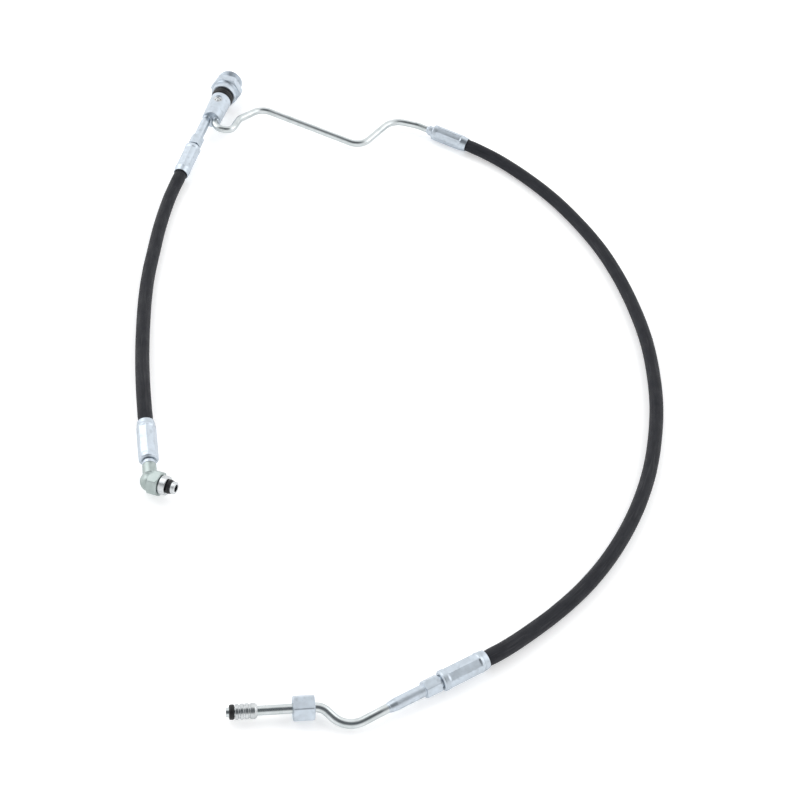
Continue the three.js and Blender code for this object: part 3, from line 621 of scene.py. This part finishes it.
def bent_path(start, corners, end, straight_step=0.006, bend_step=math.radians(6)):
    """Points and directions along straight lengths joined by circular bends."""
    points = [Vector(start), *[Vector(corner) for corner, _ in corners], Vector(end)]
    path = []
    last = points[0]
    for i, (_, radius) in enumerate(corners, 1):
        incoming = (points[i] - points[i - 1]).normalized()
        outgoing = (points[i + 1] - points[i]).normalized()
        angle = incoming.angle(outgoing)
        setback = radius * math.tan(angle / 2)
        bend_start = points[i] - incoming * setback
        axis = incoming.cross(outgoing).normalized()
        inward = axis.cross(incoming)
        path += straight(last, bend_start, straight_step)
        steps = math.ceil(angle / bend_step)
        for step in range(steps):
            turn = angle * step / steps
            offset = incoming * math.sin(turn) + inward * (1 - math.cos(turn))
            heading = incoming * math.cos(turn) + inward * math.sin(turn)
            path.append((bend_start + offset * radius, heading))
        last = points[i] + outgoing * setback
    path += straight(last, points[-1], straight_step)
    path.append((points[-1], (points[-1] - last).normalized()))
    return path


def straight(start, end, step):
    """Points and directions along a straight length, without its last point."""
    steps = max(1, math.ceil((end - start).length / step))
    heading = (end - start).normalized()
    return [(start.lerp(end, i / steps), heading) for i in range(steps)]


def smooth_path(points, step=0.003):
    """Points and directions on one smooth curve through some points (centripetal Catmull-Rom)."""
    points = [Vector(point) for point in points]
    points = [2 * points[0] - points[1], *points, 2 * points[-1] - points[-2]]
    places = []
    for p0, p1, p2, p3 in zip(points, points[1:], points[2:], points[3:]):
        t1 = (p1 - p0).length ** 0.5
        t2 = t1 + (p2 - p1).length ** 0.5
        t3 = t2 + (p3 - p2).length ** 0.5
        steps = max(2, math.ceil((p2 - p1).length / step))
        for i in range(steps):
            t = t1 + (t2 - t1) * i / steps
            a1 = p0.lerp(p1, t / t1)
            a2 = p1.lerp(p2, (t - t1) / (t2 - t1))
            a3 = p2.lerp(p3, (t - t2) / (t3 - t2))
            b1 = a1.lerp(a2, t / t2)
            b2 = a2.lerp(a3, (t - t1) / (t3 - t1))
            places.append(b1.lerp(b2, (t - t1) / (t2 - t1)))
    places.append(points[-2])
    ahead = [*places[1:], 2 * places[-1] - places[-2]]
    behind = [2 * places[0] - places[1], *places[:-1]]
    return [(place, (b - a).normalized()) for place, a, b in zip(places, behind, ahead)]


def swept(name, path, outside, bore, sides):
    """A hollow pipe along a path. outside gives its radius at a distance from the start."""
    turns = even_angles(sides)
    side = path[0][1].orthogonal().normalized()
    frames = []
    distance = 0.0
    for i, (point, heading) in enumerate(path):
        if i:
            distance += (point - path[i - 1][0]).length
        side = (side - heading * side.dot(heading)).normalized()
        frames.append((point, side, heading.cross(side), distance))
    rings = []
    lengths = []
    end_chamfer = 0.2
    total = distance
    for inner in (False, True):
        for point, across, up, distance in reversed(frames) if inner else frames:
            radius = bore if inner else outside(distance / MM, total / MM)
            if distance in (0.0, total):
                radius += end_chamfer if inner else -end_chamfer
            outward = [across * math.cos(turn) + up * math.sin(turn) for turn in turns]
            ring = [point + direction * radius * MM for direction in outward]
            rings.append(np.array(ring))
            lengths.append(distance)
    return lay_out(name, skin(rings, turns / TURN, lengths, closed=True), Matrix())


# Hoses


def hose_outside(distance, total):
    """The cover's radius: squeezed at each ferrule's mouth and swollen just outside it."""
    from_mouth = min(distance, total - distance) - HOSE_DEPTH
    squeeze = -0.25 * math.exp(-((from_mouth / 4) ** 2))
    swell = 0.16 * math.exp(-(((from_mouth - 11) / 6) ** 2))
    waver = 0.03 * math.sin(distance / 23) + 0.02 * math.sin(distance / 7.1)
    return HOSE_RADIUS - 0.05 + squeeze + swell + waver


def make_hose(side, first, route, last):
    """A free hose between two ferrules, from the bottom of one to the bottom of the other."""
    depths = (HOSE_DEPTH, HOSE_DEPTH / 2, 0)
    start = [along(first, depth) for depth in depths]
    end = [along(last, depth) for depth in reversed(depths)]
    path = smooth_path([*start, *route, *end])
    hose = swept(f"{side}_hose_cover", path, hose_outside, HOSE_BORE_RADIUS, sides=64)
    show(hose, HOSE_RUBBER, f"{side}_hose")


# Hose end fittings, in millimetres from the ferrule's mouth

FERRULE_RADIUS = 11.25
FERRULE_LENGTH = 56
FERRULE_INSIDE = 9.35
FERRULE_MOUTH_RADIUS = 10.1
FERRULE_BACK_WALL = 4
FERRULE_BACK_CHAMFER = 1.8
CRIMP_RADIUS = 10.6
CRIMP_JAWS = 8
CRIMP_RANGE = (9, 50)
NIPPLE_START = 2
NIPPLE_TIP_RADIUS = 4
BARB_START = 6
BARB_PITCH = 8
BARB_RADIUS = 4.75
BARB_ROOT_RADIUS = 4.2
COLLAR_RADIUS = 7.6
COLLAR_START = HOSE_DEPTH + GAP
COLLAR_END = COLLAR_START + 3.4
TAIL_RADIUS = 6.6
SHOULDER_START = FERRULE_LENGTH + 0.5
SHORT_SHOULDER_RADIUS = 7.2
HEX_FLATS = 17
HEX_START = FERRULE_LENGTH + 2.5
HEX_END = HEX_START + 18
LONG_NIPPLE_END = HEX_END + 41
SHORT_NIPPLE_END = FERRULE_LENGTH + 8
ELBOW_SHOULDER_END = FERRULE_LENGTH + 5
ELBOW_SPIGOT_LENGTH = 9


def crimp_radii(angles, share):
    """A ferrule's section: flats pressed by the jaws, with a thin ridge squeezed up between them."""
    bulge = 0.55
    ridge_height = 0.3
    ridge_width = math.radians(1.6)
    jaw = TURN / CRIMP_JAWS
    across = np.mod(angles, jaw) - jaw / 2
    pressed = CRIMP_RADIUS * (1 + bulge * (1 / np.cos(across) - 1))
    ridge = ridge_height * np.exp(-(((jaw / 2 - np.abs(across)) / ridge_width) ** 2))
    return FERRULE_RADIUS * (1 - share) + (pressed + ridge) * share


def crimp_angles():
    """Angles that are close together at the ridges and wider apart on the flats."""
    jaw = TURN / CRIMP_JAWS
    near_ridge = np.radians([0, 0.8, 1.6, 2.6, 4])
    flat_start = math.radians(7)
    middle = np.linspace(flat_start, jaw - flat_start, 9)
    one = np.concatenate([near_ridge, middle, jaw - near_ridge[:0:-1]])
    return np.concatenate([one + jaw * i for i in range(CRIMP_JAWS)])


def crimp_share(height):
    """0 where the ferrule is still round, 1 where the jaws pressed it."""
    low, high = CRIMP_RANGE
    ramp = 2.4
    share = min(1.0, max(0.0, min(height - low, high - height) / ramp))
    return share * share * (3 - 2 * share)


def crimp_heights():
    """Heights through the crimp, close together at both of its ends."""
    low, high = CRIMP_RANGE
    begins = np.linspace(low, low + 3, 7)
    middle = np.linspace(low + 7, high - 6, 8)
    ends = np.linspace(high - 3, high, 7)
    return np.concatenate([begins, middle, ends])


def make_ferrule(place):
    """The crimped sleeve: a narrow rolled mouth, eight pressed flats and a chamfered back."""
    angles = crimp_angles()
    back_hole = TAIL_RADIUS + 0.4
    back_wall = FERRULE_LENGTH - FERRULE_BACK_WALL
    mouth = rounded([
        (FERRULE_INSIDE, 0),
        (FERRULE_MOUTH_RADIUS, 0, 0.7),
        (FERRULE_RADIUS - 0.25, 7.5, 9),
    ], segments=5)
    crimp = [(crimp_radii(angles, crimp_share(height)), height) for height in crimp_heights()]
    back = rounded([
        (FERRULE_RADIUS, CRIMP_RANGE[1] + 0.5),
        (FERRULE_RADIUS, FERRULE_LENGTH - FERRULE_BACK_CHAMFER, 1.2),
        (FERRULE_RADIUS - FERRULE_BACK_CHAMFER, FERRULE_LENGTH, 0.6),
        (back_hole, FERRULE_LENGTH, 0.4),
        (back_hole, back_wall),
        (FERRULE_INSIDE, back_wall),
    ])
    rows = [*mouth, *crimp, *back]
    ferrule = lathe(f"{place}_crimped_ferrule", rows, angles, FITTINGS[place], closed=True)
    show(ferrule, SATIN_ZINC, f"{place}_ferrule")


def barbed_profile():
    """The nipple inside the hose, the collar that the ferrule grips and the neck behind it."""
    root_start, root_end = 0.6, 3.6
    barbs = []
    for start in range(BARB_START, HOSE_DEPTH - BARB_PITCH, BARB_PITCH):
        barbs += [
            (BARB_RADIUS, start),
            (BARB_ROOT_RADIUS, start + root_start),
            (BARB_ROOT_RADIUS, start + root_end),
        ]
    return [
        (PASSAGE_RADIUS, NIPPLE_START),
        (NIPPLE_TIP_RADIUS, NIPPLE_START),
        *barbs,
        (BARB_RADIUS, HOSE_DEPTH - BARB_PITCH / 2),
        (BARB_RADIUS, COLLAR_START),
        (COLLAR_RADIUS, COLLAR_START, 0.3),
        (COLLAR_RADIUS, COLLAR_END, 0.3),
        (TAIL_RADIUS, COLLAR_END),
    ]


def socket_profile(end):
    """The far end of a nipple: the brazing fillet's seat and the tube's socket."""
    bottom = end - SOCKET_DEPTH - 0.6
    return [
        (TUBE_SOCKET_RADIUS, end - 0.4),
        (TUBE_SOCKET_RADIUS, bottom),
        (PASSAGE_RADIUS, bottom),
    ]


def make_round_nipple(place, far_end):
    """A nipple without a hexagon. far_end is its outline from the shoulder on."""
    profile = [*barbed_profile(), (TAIL_RADIUS, SHOULDER_START, 0.2), *far_end]
    nipple = turned(f"{place}_turned_nipple", profile, FITTINGS[place], closed=True)
    show(nipple, SATIN_ZINC, f"{place}_nipple")


def make_short_nipple(place):
    """A nipple with a plain shoulder that a tube is brazed into."""
    end = SHORT_NIPPLE_END
    make_round_nipple(place, [
        (SHORT_SHOULDER_RADIUS, SHOULDER_START, 0.3),
        (SHORT_SHOULDER_RADIUS, end - 1.6, 1.2),
        (TUBE_SOCKET_RADIUS, end, 0.2),
        *socket_profile(end),
    ])


def make_long_nipple(place):
    """A nipple with a hexagon behind the ferrule and a long tail that the tube is brazed into."""
    corner_cut = 0.25
    angles = hex_angles(HEX_FLATS, corner_cut)
    end = LONG_NIPPLE_END
    taper_length = 8
    rows = [
        *rounded(barbed_profile()),
        (TAIL_RADIUS, HEX_START),
        *hex_rows(angles, HEX_FLATS, corner_cut, HEX_START, HEX_END, chamfer=0.9),
        *rounded([
            (TAIL_RADIUS + 0.5, HEX_END),
            (TAIL_RADIUS, HEX_END + 0.5),
            (TAIL_RADIUS, end - taper_length, 4),
            (TUBE_RADIUS + 0.6, end, 0.2),
            (TUBE_SOCKET_RADIUS, end),
            *socket_profile(end),
        ]),
    ]
    nipple = lathe(f"{place}_hex_nipple", rows, angles, FITTINGS[place], closed=True)
    show(nipple, SATIN_ZINC, f"{place}_nipple")


def make_elbow_nipple(place):
    """A nipple whose spigot is brazed into the elbow."""
    end = ELBOW_SHOULDER_END
    make_round_nipple(place, [
        (COLLAR_RADIUS, SHOULDER_START, 0.4),
        (COLLAR_RADIUS, end, 0.4),
        (TUBE_RADIUS, end),
        (TUBE_RADIUS, end + ELBOW_SPIGOT_LENGTH, 0.4),
        (PASSAGE_RADIUS, end + ELBOW_SPIGOT_LENGTH),
    ])


# Tubes


def tube_outside(distance, total):
    """A tube's radius, which is the same all along it."""
    return TUBE_RADIUS


def make_tube(name, start, corners, end):
    """A bent plated tube from one socket to the next."""
    path = bent_path(start, corners, end)
    tube = swept(f"{name}_pipe", path, tube_outside, TUBE_BORE_RADIUS, sides=48)
    show(tube, TUBE_ZINC, name)


PORT_OFFSET = 6.6


def port_station(side):
    """At the mouth of one of the two tube ports, looking into the body."""
    return MANIFOLD @ Matrix.Translation((-side * PORT_OFFSET * MM, 0, 0))


def port_point(side, distance):
    """A point on a manifold port's axis, at a distance out of the body."""
    return along(port_station(side), -distance)


def make_tubes():
    """The three tubes, with the corners that lie on the fittings' own axes worked out here."""
    long_socket = LONG_NIPPLE_END - SOCKET_DEPTH
    short_socket = SHORT_NIPPLE_END - SOCKET_DEPTH
    make_tube(
        "left_stem_tube",
        port_point(-1, -SOCKET_DEPTH),
        [(port_point(-1, 0), 0.030)],
        along(FITTINGS["left_upper"], long_socket),
    )
    make_tube(
        "crossover_tube",
        port_point(1, -SOCKET_DEPTH),
        [
            (port_point(1, 15), 0.0124),
            *CROSSOVER_CORNERS,
            (along(FITTINGS["right_upper"], SHORT_NIPPLE_END + 19), 0.026),
        ],
        along(FITTINGS["right_upper"], short_socket),
    )
    make_tube(
        "lower_tube",
        along(TUBE_END, 0),
        [
            (along(TUBE_END, NUT_END + 7.5), 0.016),
            LOWER_CORNER,
            (along(FITTINGS["right_lower"], LONG_NIPPLE_END + 9.5), 0.040),
        ],
        along(FITTINGS["right_lower"], long_socket),
    )


# Manifold, in millimetres from the face that the tubes enter

BODY_LENGTH = 49
BODY_NEAR_RADIUS = 13.7
BODY_FAR_RADIUS = 15
BODY_FAR_CHAMFER = 1.5
GALLERY_START = 20
GALLERY_RADIUS = 5
LAND_RADIUS = 13
SEAL_INNER_RADIUS = 13.5
SEAL_RADIUS = 15.8
SEAL_END = 59
SWIVEL_NUT_AT = 59.6
SWIVEL_NUT_END = SWIVEL_NUT_AT + 40.5
SWIVEL_HEX = (SWIVEL_NUT_AT + 13, SWIVEL_NUT_AT + 24.5)
SWIVEL_FLATS = 41
SWIVEL_RADIUS = 18
SWIVEL_RELIEF_RADIUS = 16.2
SWIVEL_BACK_WALL = 6
SPINDLE_RADIUS = 10.5
SPINDLE_END = SWIVEL_NUT_AT + 34
PLUG_AT = 33
PLUG_RADIUS = 6
PLUG_HEIGHT = 6
PLUG_SEAT_HEIGHT = 13.6
BALL_RADIUS = 3.6
NOSE_RADIUS = 13.3
NOSE_START = SWIVEL_NUT_AT + 8.2
NOSE_END = SWIVEL_NUT_END + 4
NOSE_GROOVE = (NOSE_END - 6.2, NOSE_END - 3)


def ball_profile(radius, bands):
    """A half circle from the bottom of a ball to its top."""
    steps = [math.pi * i / bands for i in range(bands + 1)]
    return [(radius * math.sin(step), -radius * math.cos(step)) for step in steps]


def plug_station():
    """On the manifold's top, with +Z pointing up out of the ball plug."""
    return MANIFOLD @ Matrix.Translation((0, 0, PLUG_AT * MM)) @ Matrix.Rotation(-math.pi / 2, 4, "X")


def drill(name, radius, low, high, place):
    """A cutter for a round hole."""
    return turned(name, [(0, low), (radius, low), (radius, high), (0, high)], place, sides=64)


def make_manifold_body():
    """The tapered body with its spindle. The plug's seat and spot face are cut into the top."""
    land_end = SWIVEL_NUT_AT - GAP
    body = turned("manifold_tapered_body", [
        (0, 0),
        (BODY_NEAR_RADIUS, 0, 1.2),
        (BODY_FAR_RADIUS, BODY_LENGTH - BODY_FAR_CHAMFER, 1.5),
        (BODY_FAR_RADIUS - BODY_FAR_CHAMFER, BODY_LENGTH, 0.5),
        (LAND_RADIUS, BODY_LENGTH),
        (LAND_RADIUS, land_end),
        (SPINDLE_RADIUS, land_end),
        (SPINDLE_RADIUS, SPINDLE_END, 0.5),
        (GALLERY_RADIUS, SPINDLE_END, 0.4),
        (GALLERY_RADIUS, GALLERY_START),
        (0, GALLERY_START),
    ], MANIFOLD, sides=128)
    plug = plug_station()
    clear_of_body = 20
    spot_face = turned("spot", [
        (0, PLUG_SEAT_HEIGHT),
        (7.6, PLUG_SEAT_HEIGHT, 0.4),
        (7.9, clear_of_body),
        (0, clear_of_body),
    ], plug, sides=96)
    cut(body, [
        drill("seat", PLUG_RADIUS + SLIP, 4, clear_of_body, plug),
        spot_face,
        *[drill("port", TUBE_SOCKET_RADIUS, -2, 12, port_station(side)) for side in (1, -1)],
    ])
    show(body, SATIN_ZINC, "manifold_body")


def make_plug():
    """A press-in sleeve with a ball driven into it."""
    plug = plug_station() @ Matrix.Translation((0, 0, (PLUG_SEAT_HEIGHT - PLUG_HEIGHT) * MM))
    floor = 1.5
    top = PLUG_HEIGHT + 0.1
    sleeve = turned("ball_plug_sleeve", [
        (BALL_RADIUS + SLIP, floor),
        (PLUG_RADIUS, floor),
        (PLUG_RADIUS, top, 0.5),
        (BALL_RADIUS + 0.9, top, 0.4),
        (BALL_RADIUS + SLIP, top - 0.9),
    ], plug, closed=True)
    show(sleeve, BRIGHT_ZINC, "plug_sleeve")
    middle = plug @ Matrix.Translation((0, 0, 3.3 * MM))
    ball = turned("ball_plug_ball", ball_profile(BALL_RADIUS, bands=24), middle, sides=48)
    show(ball, BRIGHT_ZINC, "plug_ball")


def make_rear_seal():
    """The rubber dust ring behind the nut, with two shallow grooves round it."""
    start = BODY_LENGTH + GAP
    end_radius = SEAL_RADIUS - 0.8
    groove_radius = SEAL_RADIUS - 0.6
    seal = turned("nut_rear_dust_seal", [
        (SEAL_INNER_RADIUS, start, 0.4),
        (end_radius, start, 0.8),
        (SEAL_RADIUS, start + 2.2, 0.8),
        (groove_radius, start + 3.4, 0.4),
        (SEAL_RADIUS, start + 4.6, 0.6),
        (SEAL_RADIUS, start + 6.2, 0.6),
        (groove_radius, start + 7.2, 0.4),
        (SEAL_RADIUS - 0.1, SEAL_END - 0.7, 0.6),
        (end_radius, SEAL_END, 0.4),
        (SEAL_INNER_RADIUS, SEAL_END, 0.4),
    ], MANIFOLD, sides=128, closed=True)
    show(seal, SEAL_RUBBER, "nut_rear_seal")


def make_swivel_nut():
    """The large nut: a round collar, a chamfered hexagon and an outside thread, M36 in form."""
    corner_cut = 0.35
    angles = hex_angles(SWIVEL_FLATS, corner_cut, steps=20)
    low, high = SWIVEL_HEX
    thread_low = high + 3.2
    thread_high = SWIVEL_NUT_END - 1.4
    bore = SPINDLE_RADIUS + 0.35
    cavity = NOSE_RADIUS + 0.6
    cavity_floor = SWIVEL_NUT_AT + SWIVEL_BACK_WALL
    thread = {"crest": SWIVEL_RADIUS, "root": 16.75, "pitch": 2.0}
    rows = [
        *rounded([
            (bore, SWIVEL_NUT_AT, 0.3),
            (SWIVEL_RADIUS, SWIVEL_NUT_AT, 1.0),
            (SWIVEL_RADIUS, low - 0.8, 0.6),
        ]),
        (SWIVEL_RADIUS + 0.6, low),
        *hex_rows(angles, SWIVEL_FLATS, corner_cut, low, high, chamfer=1.6),
        *rounded([
            (SWIVEL_RELIEF_RADIUS + 0.4, high),
            (SWIVEL_RELIEF_RADIUS, high + 0.4, 0.4),
            (SWIVEL_RELIEF_RADIUS, thread_low - 1.2, 0.3),
        ]),
        *thread_rows(angles, low=thread_low, high=thread_high, steps=10, **thread),
        *rounded([
            (SWIVEL_RELIEF_RADIUS + 0.4, SWIVEL_NUT_END, 0.4),
            (cavity + 0.5, SWIVEL_NUT_END, 0.2),
            (cavity, SWIVEL_NUT_END - 0.5),
            (cavity, cavity_floor),
            (bore, cavity_floor, 0.3),
        ]),
    ]
    nut = lathe("swivel_nut_threaded", rows, angles, MANIFOLD, closed=True)
    show(nut, SATIN_ZINC, "swivel_nut", "swivel_nut")


def make_nose():
    """The sealing nose on the spindle's end, with its O-ring."""
    low, high = NOSE_GROOVE
    groove = NOSE_RADIUS - 2
    socket = SPINDLE_RADIUS + SLIP
    socket_end = SPINDLE_END + 0.1
    nose = turned("manifold_sealing_nose", [
        (socket, NOSE_START),
        (NOSE_RADIUS, NOSE_START, 0.3),
        (NOSE_RADIUS, low, 0.2),
        (groove, low),
        (groove, high),
        (NOSE_RADIUS, high, 0.2),
        (NOSE_RADIUS, NOSE_END, 0.9),
        (GALLERY_RADIUS, NOSE_END, 0.7),
        (GALLERY_RADIUS, socket_end),
        (socket, socket_end),
    ], MANIFOLD, closed=True)
    show(nose, BRIGHT_ZINC, "manifold_nose")
    middle = (low + high) / 2
    make_ring("nose_seal_ring", groove + 0.1, NOSE_RADIUS + 0.3, middle, MANIFOLD, "nose_o_ring")


def make_ring(name, inside, outside, middle, place, node, body=ROOT, width=None):
    """A rubber ring of round or oval section."""
    half_depth = (outside - inside) / 2
    half_width = (width or outside - inside) / 2
    section = [
        (inside + half_depth * (1 + math.cos(angle)), middle + half_width * math.sin(angle))
        for angle in even_angles(20)
    ]
    ring = turned(name, section, place, sides=96, closed=True)
    show(ring, SEAL_RUBBER, node, body)


def make_braze(name, place, radius, height):
    """The small concave fillet of brazing metal where a tube enters a socket."""
    reach = 2.2
    inside = TUBE_RADIUS - 0.1
    bottom = height - 0.4
    arc = [
        (TUBE_RADIUS + 0.05 + (radius - TUBE_RADIUS) * (1 - math.sin(angle)),
         height + reach * (1 - math.cos(angle)))
        for angle in np.linspace(0, math.pi / 2, 7)
    ]
    profile = [*arc, (inside, height + reach), (inside, bottom), (radius - 0.1, bottom)]
    fillet = turned(name, profile, place, sides=64, closed=True)
    fillet.data.materials.append(SATIN_ZINC)
    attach(fillet, ROOT)


def make_brazes():
    """A fillet at each tube's socket, in the manifold and in the nipples."""
    backwards = Matrix.Rotation(math.pi, 4, "Y")
    for side, name in ((-1, "left_port_braze"), (1, "right_port_braze")):
        make_braze(name, port_station(side) @ backwards, radius=6.3, height=0)
    for place in ("left_upper", "right_lower"):
        make_braze(f"{place}_braze", FITTINGS[place], radius=5.6, height=LONG_NIPPLE_END)
    make_braze("right_upper_braze", FITTINGS["right_upper"], radius=5.7, height=SHORT_NIPPLE_END)


# Elbow, in millimetres from the corner of its passages

ELBOW_REACH = 84
ELBOW_STEM_RADIUS = 8
ELBOW_KNUCKLE_RADIUS = 11.8
ELBOW_FLATS = 27
ELBOW_FRONT = 13.5
FLANGE_START = ELBOW_FRONT + GAP
FLANGE_END = FLANGE_START + 8
FLANGE_RADIUS = 11.2
PILOT_RADIUS = 7.1
PILOT_GROOVE = (FLANGE_END, FLANGE_END + 5.6)
PILOT_GROOVE_RADIUS = 5.9
STUD_END = FLANGE_END + 10.1
STUD_BORE_RADIUS = 4.2
JOURNAL_START = 4
JOURNAL_RADIUS = 7.6
JOURNAL_SEAL_GROOVE = (6, 8.6)
SNAP_GROOVE = (10, 11.8)


def stem_station():
    """The elbow's corner, looking along the stem and away from the hose."""
    stem = FITTINGS["left_lower"].copy()
    stem.translation = OUTLET.translation
    return stem


def make_elbow():
    """A forged elbow: stem, rounded knuckle and hexagon grown together, with soft inside corners."""
    stem_end = ELBOW_REACH - ELBOW_SHOULDER_END - GAP
    stem_place = stem_station()
    stem = [(0, -stem_end), (ELBOW_STEM_RADIUS, -stem_end, 0.8), (ELBOW_STEM_RADIUS, 0), (0, 0)]
    hex_start = 1
    corner_cut = 0.3
    angles = hex_angles(ELBOW_FLATS, corner_cut, steps=16)
    flanks = hex_rows(angles, ELBOW_FLATS, corner_cut, hex_start, ELBOW_FRONT, chamfer=1.6)
    hexagon = [(0, hex_start), *flanks, (0, ELBOW_FRONT)]
    elbow = merge("elbow_forging", [
        turned("stem", stem, stem_place),
        turned("knuckle", ball_profile(ELBOW_KNUCKLE_RADIUS, bands=32), stem_place),
        lathe("hexagon", hexagon, angles, OUTLET, closed=False),
    ])
    elbow.modifiers.clear()
    remesh = elbow.modifiers.new("grown_together", "REMESH")
    remesh.mode = "VOXEL"
    remesh.voxel_size = 0.3 * MM
    soften = elbow.modifiers.new("soft_corners", "SMOOTH")
    soften.factor = 0.5
    soften.iterations = 5
    evaluated(elbow)
    cut(elbow, [
        drill("bore", JOURNAL_RADIUS + 0.2, JOURNAL_START, 20, OUTLET),
        drill("socket", TUBE_RADIUS + 0.2, -30, -stem_end + ELBOW_SPIGOT_LENGTH + 0.5, stem_place),
    ])
    show(elbow, FORGED_ZINC, "elbow_body")


def groove_profile(low, high, floor_radius):
    """A square groove round the stud's journal."""
    return [(JOURNAL_RADIUS, low), (floor_radius, low), (floor_radius, high), (JOURNAL_RADIUS, high)]


def make_stud():
    """The swivelling stud: journal, bright flange, ring groove and pilot."""
    low, high = PILOT_GROOVE
    bore = STUD_BORE_RADIUS
    stud = turned("port_stud_turned", [
        (bore, JOURNAL_START),
        (JOURNAL_RADIUS, JOURNAL_START, 0.5),
        *groove_profile(*JOURNAL_SEAL_GROOVE, JOURNAL_RADIUS - 1.6),
        *groove_profile(*SNAP_GROOVE, JOURNAL_RADIUS - 1.2),
        (JOURNAL_RADIUS, FLANGE_START),
        (FLANGE_RADIUS, FLANGE_START, 0.9),
        (FLANGE_RADIUS, FLANGE_END, 0.9),
        (PILOT_RADIUS - 0.4, FLANGE_END, 0.4),
        (PILOT_GROOVE_RADIUS, low + 0.4),
        (PILOT_GROOVE_RADIUS, high, 0.2),
        (PILOT_RADIUS, high, 0.2),
        (PILOT_RADIUS, STUD_END - 0.6, 0.6),
        (PILOT_RADIUS - 0.9, STUD_END, 0.4),
        (bore, STUD_END, 0.5),
    ], OUTLET, sides=128, closed=True)
    show(stud, BRIGHT_ZINC, "port_stud", "port_stud")
    inside = PILOT_GROOVE_RADIUS + 0.1
    make_ring("port_seal_ring", inside, 8.3, low + 2, OUTLET, "port_o_ring", "port_stud", width=3.4)
    backup_radius = 7.7
    backup_start, backup_end = high - 1.6, high - GAP
    backup = turned("port_backup_washer", [
        (inside, backup_start, 0.2),
        (backup_radius, backup_start, 0.3),
        (backup_radius, backup_end, 0.3),
        (inside, backup_end, 0.2),
    ], OUTLET, sides=96, closed=True)
    show(backup, RING_PLASTIC, "port_backup_ring", "port_stud")


# Tube end, in millimetres from the tube's open end

SLEEVE = (9, 31)
SLEEVE_RADIUS = 8
SLEEVE_GROOVE_PITCH = 5
SLEEVE_TAPER_LENGTH = 2.5
SLEEVE_TAPER_DEPTH = 2
NUT_FLATS = 24
NUT_START = 66
NUT_END = 88
NUT_BACK_WALL = 5
NUT_BORE_RADIUS = TUBE_RADIUS + 0.4
NUT_THREAD_CREST = 8.4
NUT_THREAD_ROOT = 9.2
WASHER_RADIUS = 8.3
WASHER_THICKNESS = 2


def make_sleeve():
    """The ribbed sleeve that the nut presses on."""
    start, end = SLEEVE
    groove_radius = SLEEVE_RADIUS - 1
    ribs = []
    for groove in range(start + 3, end - 4, SLEEVE_GROOVE_PITCH):
        ribs += [
            (SLEEVE_RADIUS, groove, 0.25),
            (groove_radius, groove + 0.35, 0.2),
            (groove_radius, groove + 1.85, 0.2),
            (SLEEVE_RADIUS, groove + 2.2, 0.25),
        ]
    sleeve = turned("tube_end_ribbed_sleeve", [
        (TUBE_SOCKET_RADIUS, start, 0.2),
        (SLEEVE_RADIUS, start, 0.9),
        *ribs,
        (SLEEVE_RADIUS, end - SLEEVE_TAPER_LENGTH, 1.0),
        (SLEEVE_RADIUS - SLEEVE_TAPER_DEPTH, end, 0.5),
        (TUBE_SOCKET_RADIUS, end, 0.2),
    ], TUBE_END, closed=True)
    show(sleeve, BRIGHT_ZINC, "tube_end_sleeve")


def make_loose_nut():
    """The nut that slides on the tube: chamfered outside and threaded inside."""
    corner_cut = 0.25
    angles = hex_angles(NUT_FLATS, corner_cut, steps=16)
    back_wall = NUT_END - NUT_BACK_WALL
    thread = {"crest": NUT_THREAD_ROOT, "root": NUT_THREAD_CREST, "pitch": 1.5}
    rows = [
        (NUT_THREAD_ROOT + 0.6, NUT_START),
        *hex_rows(angles, NUT_FLATS, corner_cut, NUT_START, NUT_END, chamfer=1.5),
        (NUT_BORE_RADIUS + 0.4, NUT_END),
        (NUT_BORE_RADIUS, NUT_END - 0.4),
        (NUT_BORE_RADIUS, back_wall),
        (NUT_THREAD_ROOT, back_wall),
        *reversed(thread_rows(angles, low=NUT_START + 0.6, high=back_wall - 1.2, **thread)),
    ]
    nut = lathe("tube_nut_threaded", rows, angles, TUBE_END, closed=True)
    show(nut, SATIN_ZINC, "tube_nut", "tube_nut")
    washer_end = back_wall - GAP
    washer_start = washer_end - WASHER_THICKNESS
    washer = turned("tube_nut_thrust_washer", [
        (NUT_BORE_RADIUS, washer_start, 0.3),
        (WASHER_RADIUS, washer_start, 0.3),
        (WASHER_RADIUS, washer_end, 0.3),
        (NUT_BORE_RADIUS, washer_end, 0.3),
    ], TUBE_END, closed=True)
    show(washer, SATIN_ZINC, "tube_nut_washer", "tube_nut_washer")


# Hidden pieces that keep their CAD shape


def dress_hidden_nodes():
    """Gives the pieces inside the elbow and the nut their materials."""
    hidden = {
        "swivel_thrust_washer": SATIN_ZINC,
        "stud_inner_o_ring": SEAL_RUBBER,
        "stud_snap_ring": BRIGHT_ZINC,
    }
    for node, finish in hidden.items():
        mesh = frame["nodes"][node].data
        mesh.materials.clear()
        mesh.materials.append(finish)


make_camera()
make_hose("left", FITTINGS["left_upper"], LEFT_ROUTE, FITTINGS["left_lower"])
make_hose("right", FITTINGS["right_upper"], RIGHT_ROUTE, FITTINGS["right_lower"])
make_studio()
make_floor(floor_finish())
for place in FITTINGS:
    make_ferrule(place)
make_long_nipple("left_upper")
make_elbow_nipple("left_lower")
make_short_nipple("right_upper")
make_long_nipple("right_lower")
make_tubes()
make_brazes()
make_manifold_body()
make_plug()
make_rear_seal()
make_swivel_nut()
make_nose()
make_elbow()
make_stud()
make_sleeve()
make_ring("tube_end_seal_ring", 5.2, 7.6, 5.7, TUBE_END, "tube_end_o_ring", width=5.4)
make_loose_nut()
dress_hidden_nodes()
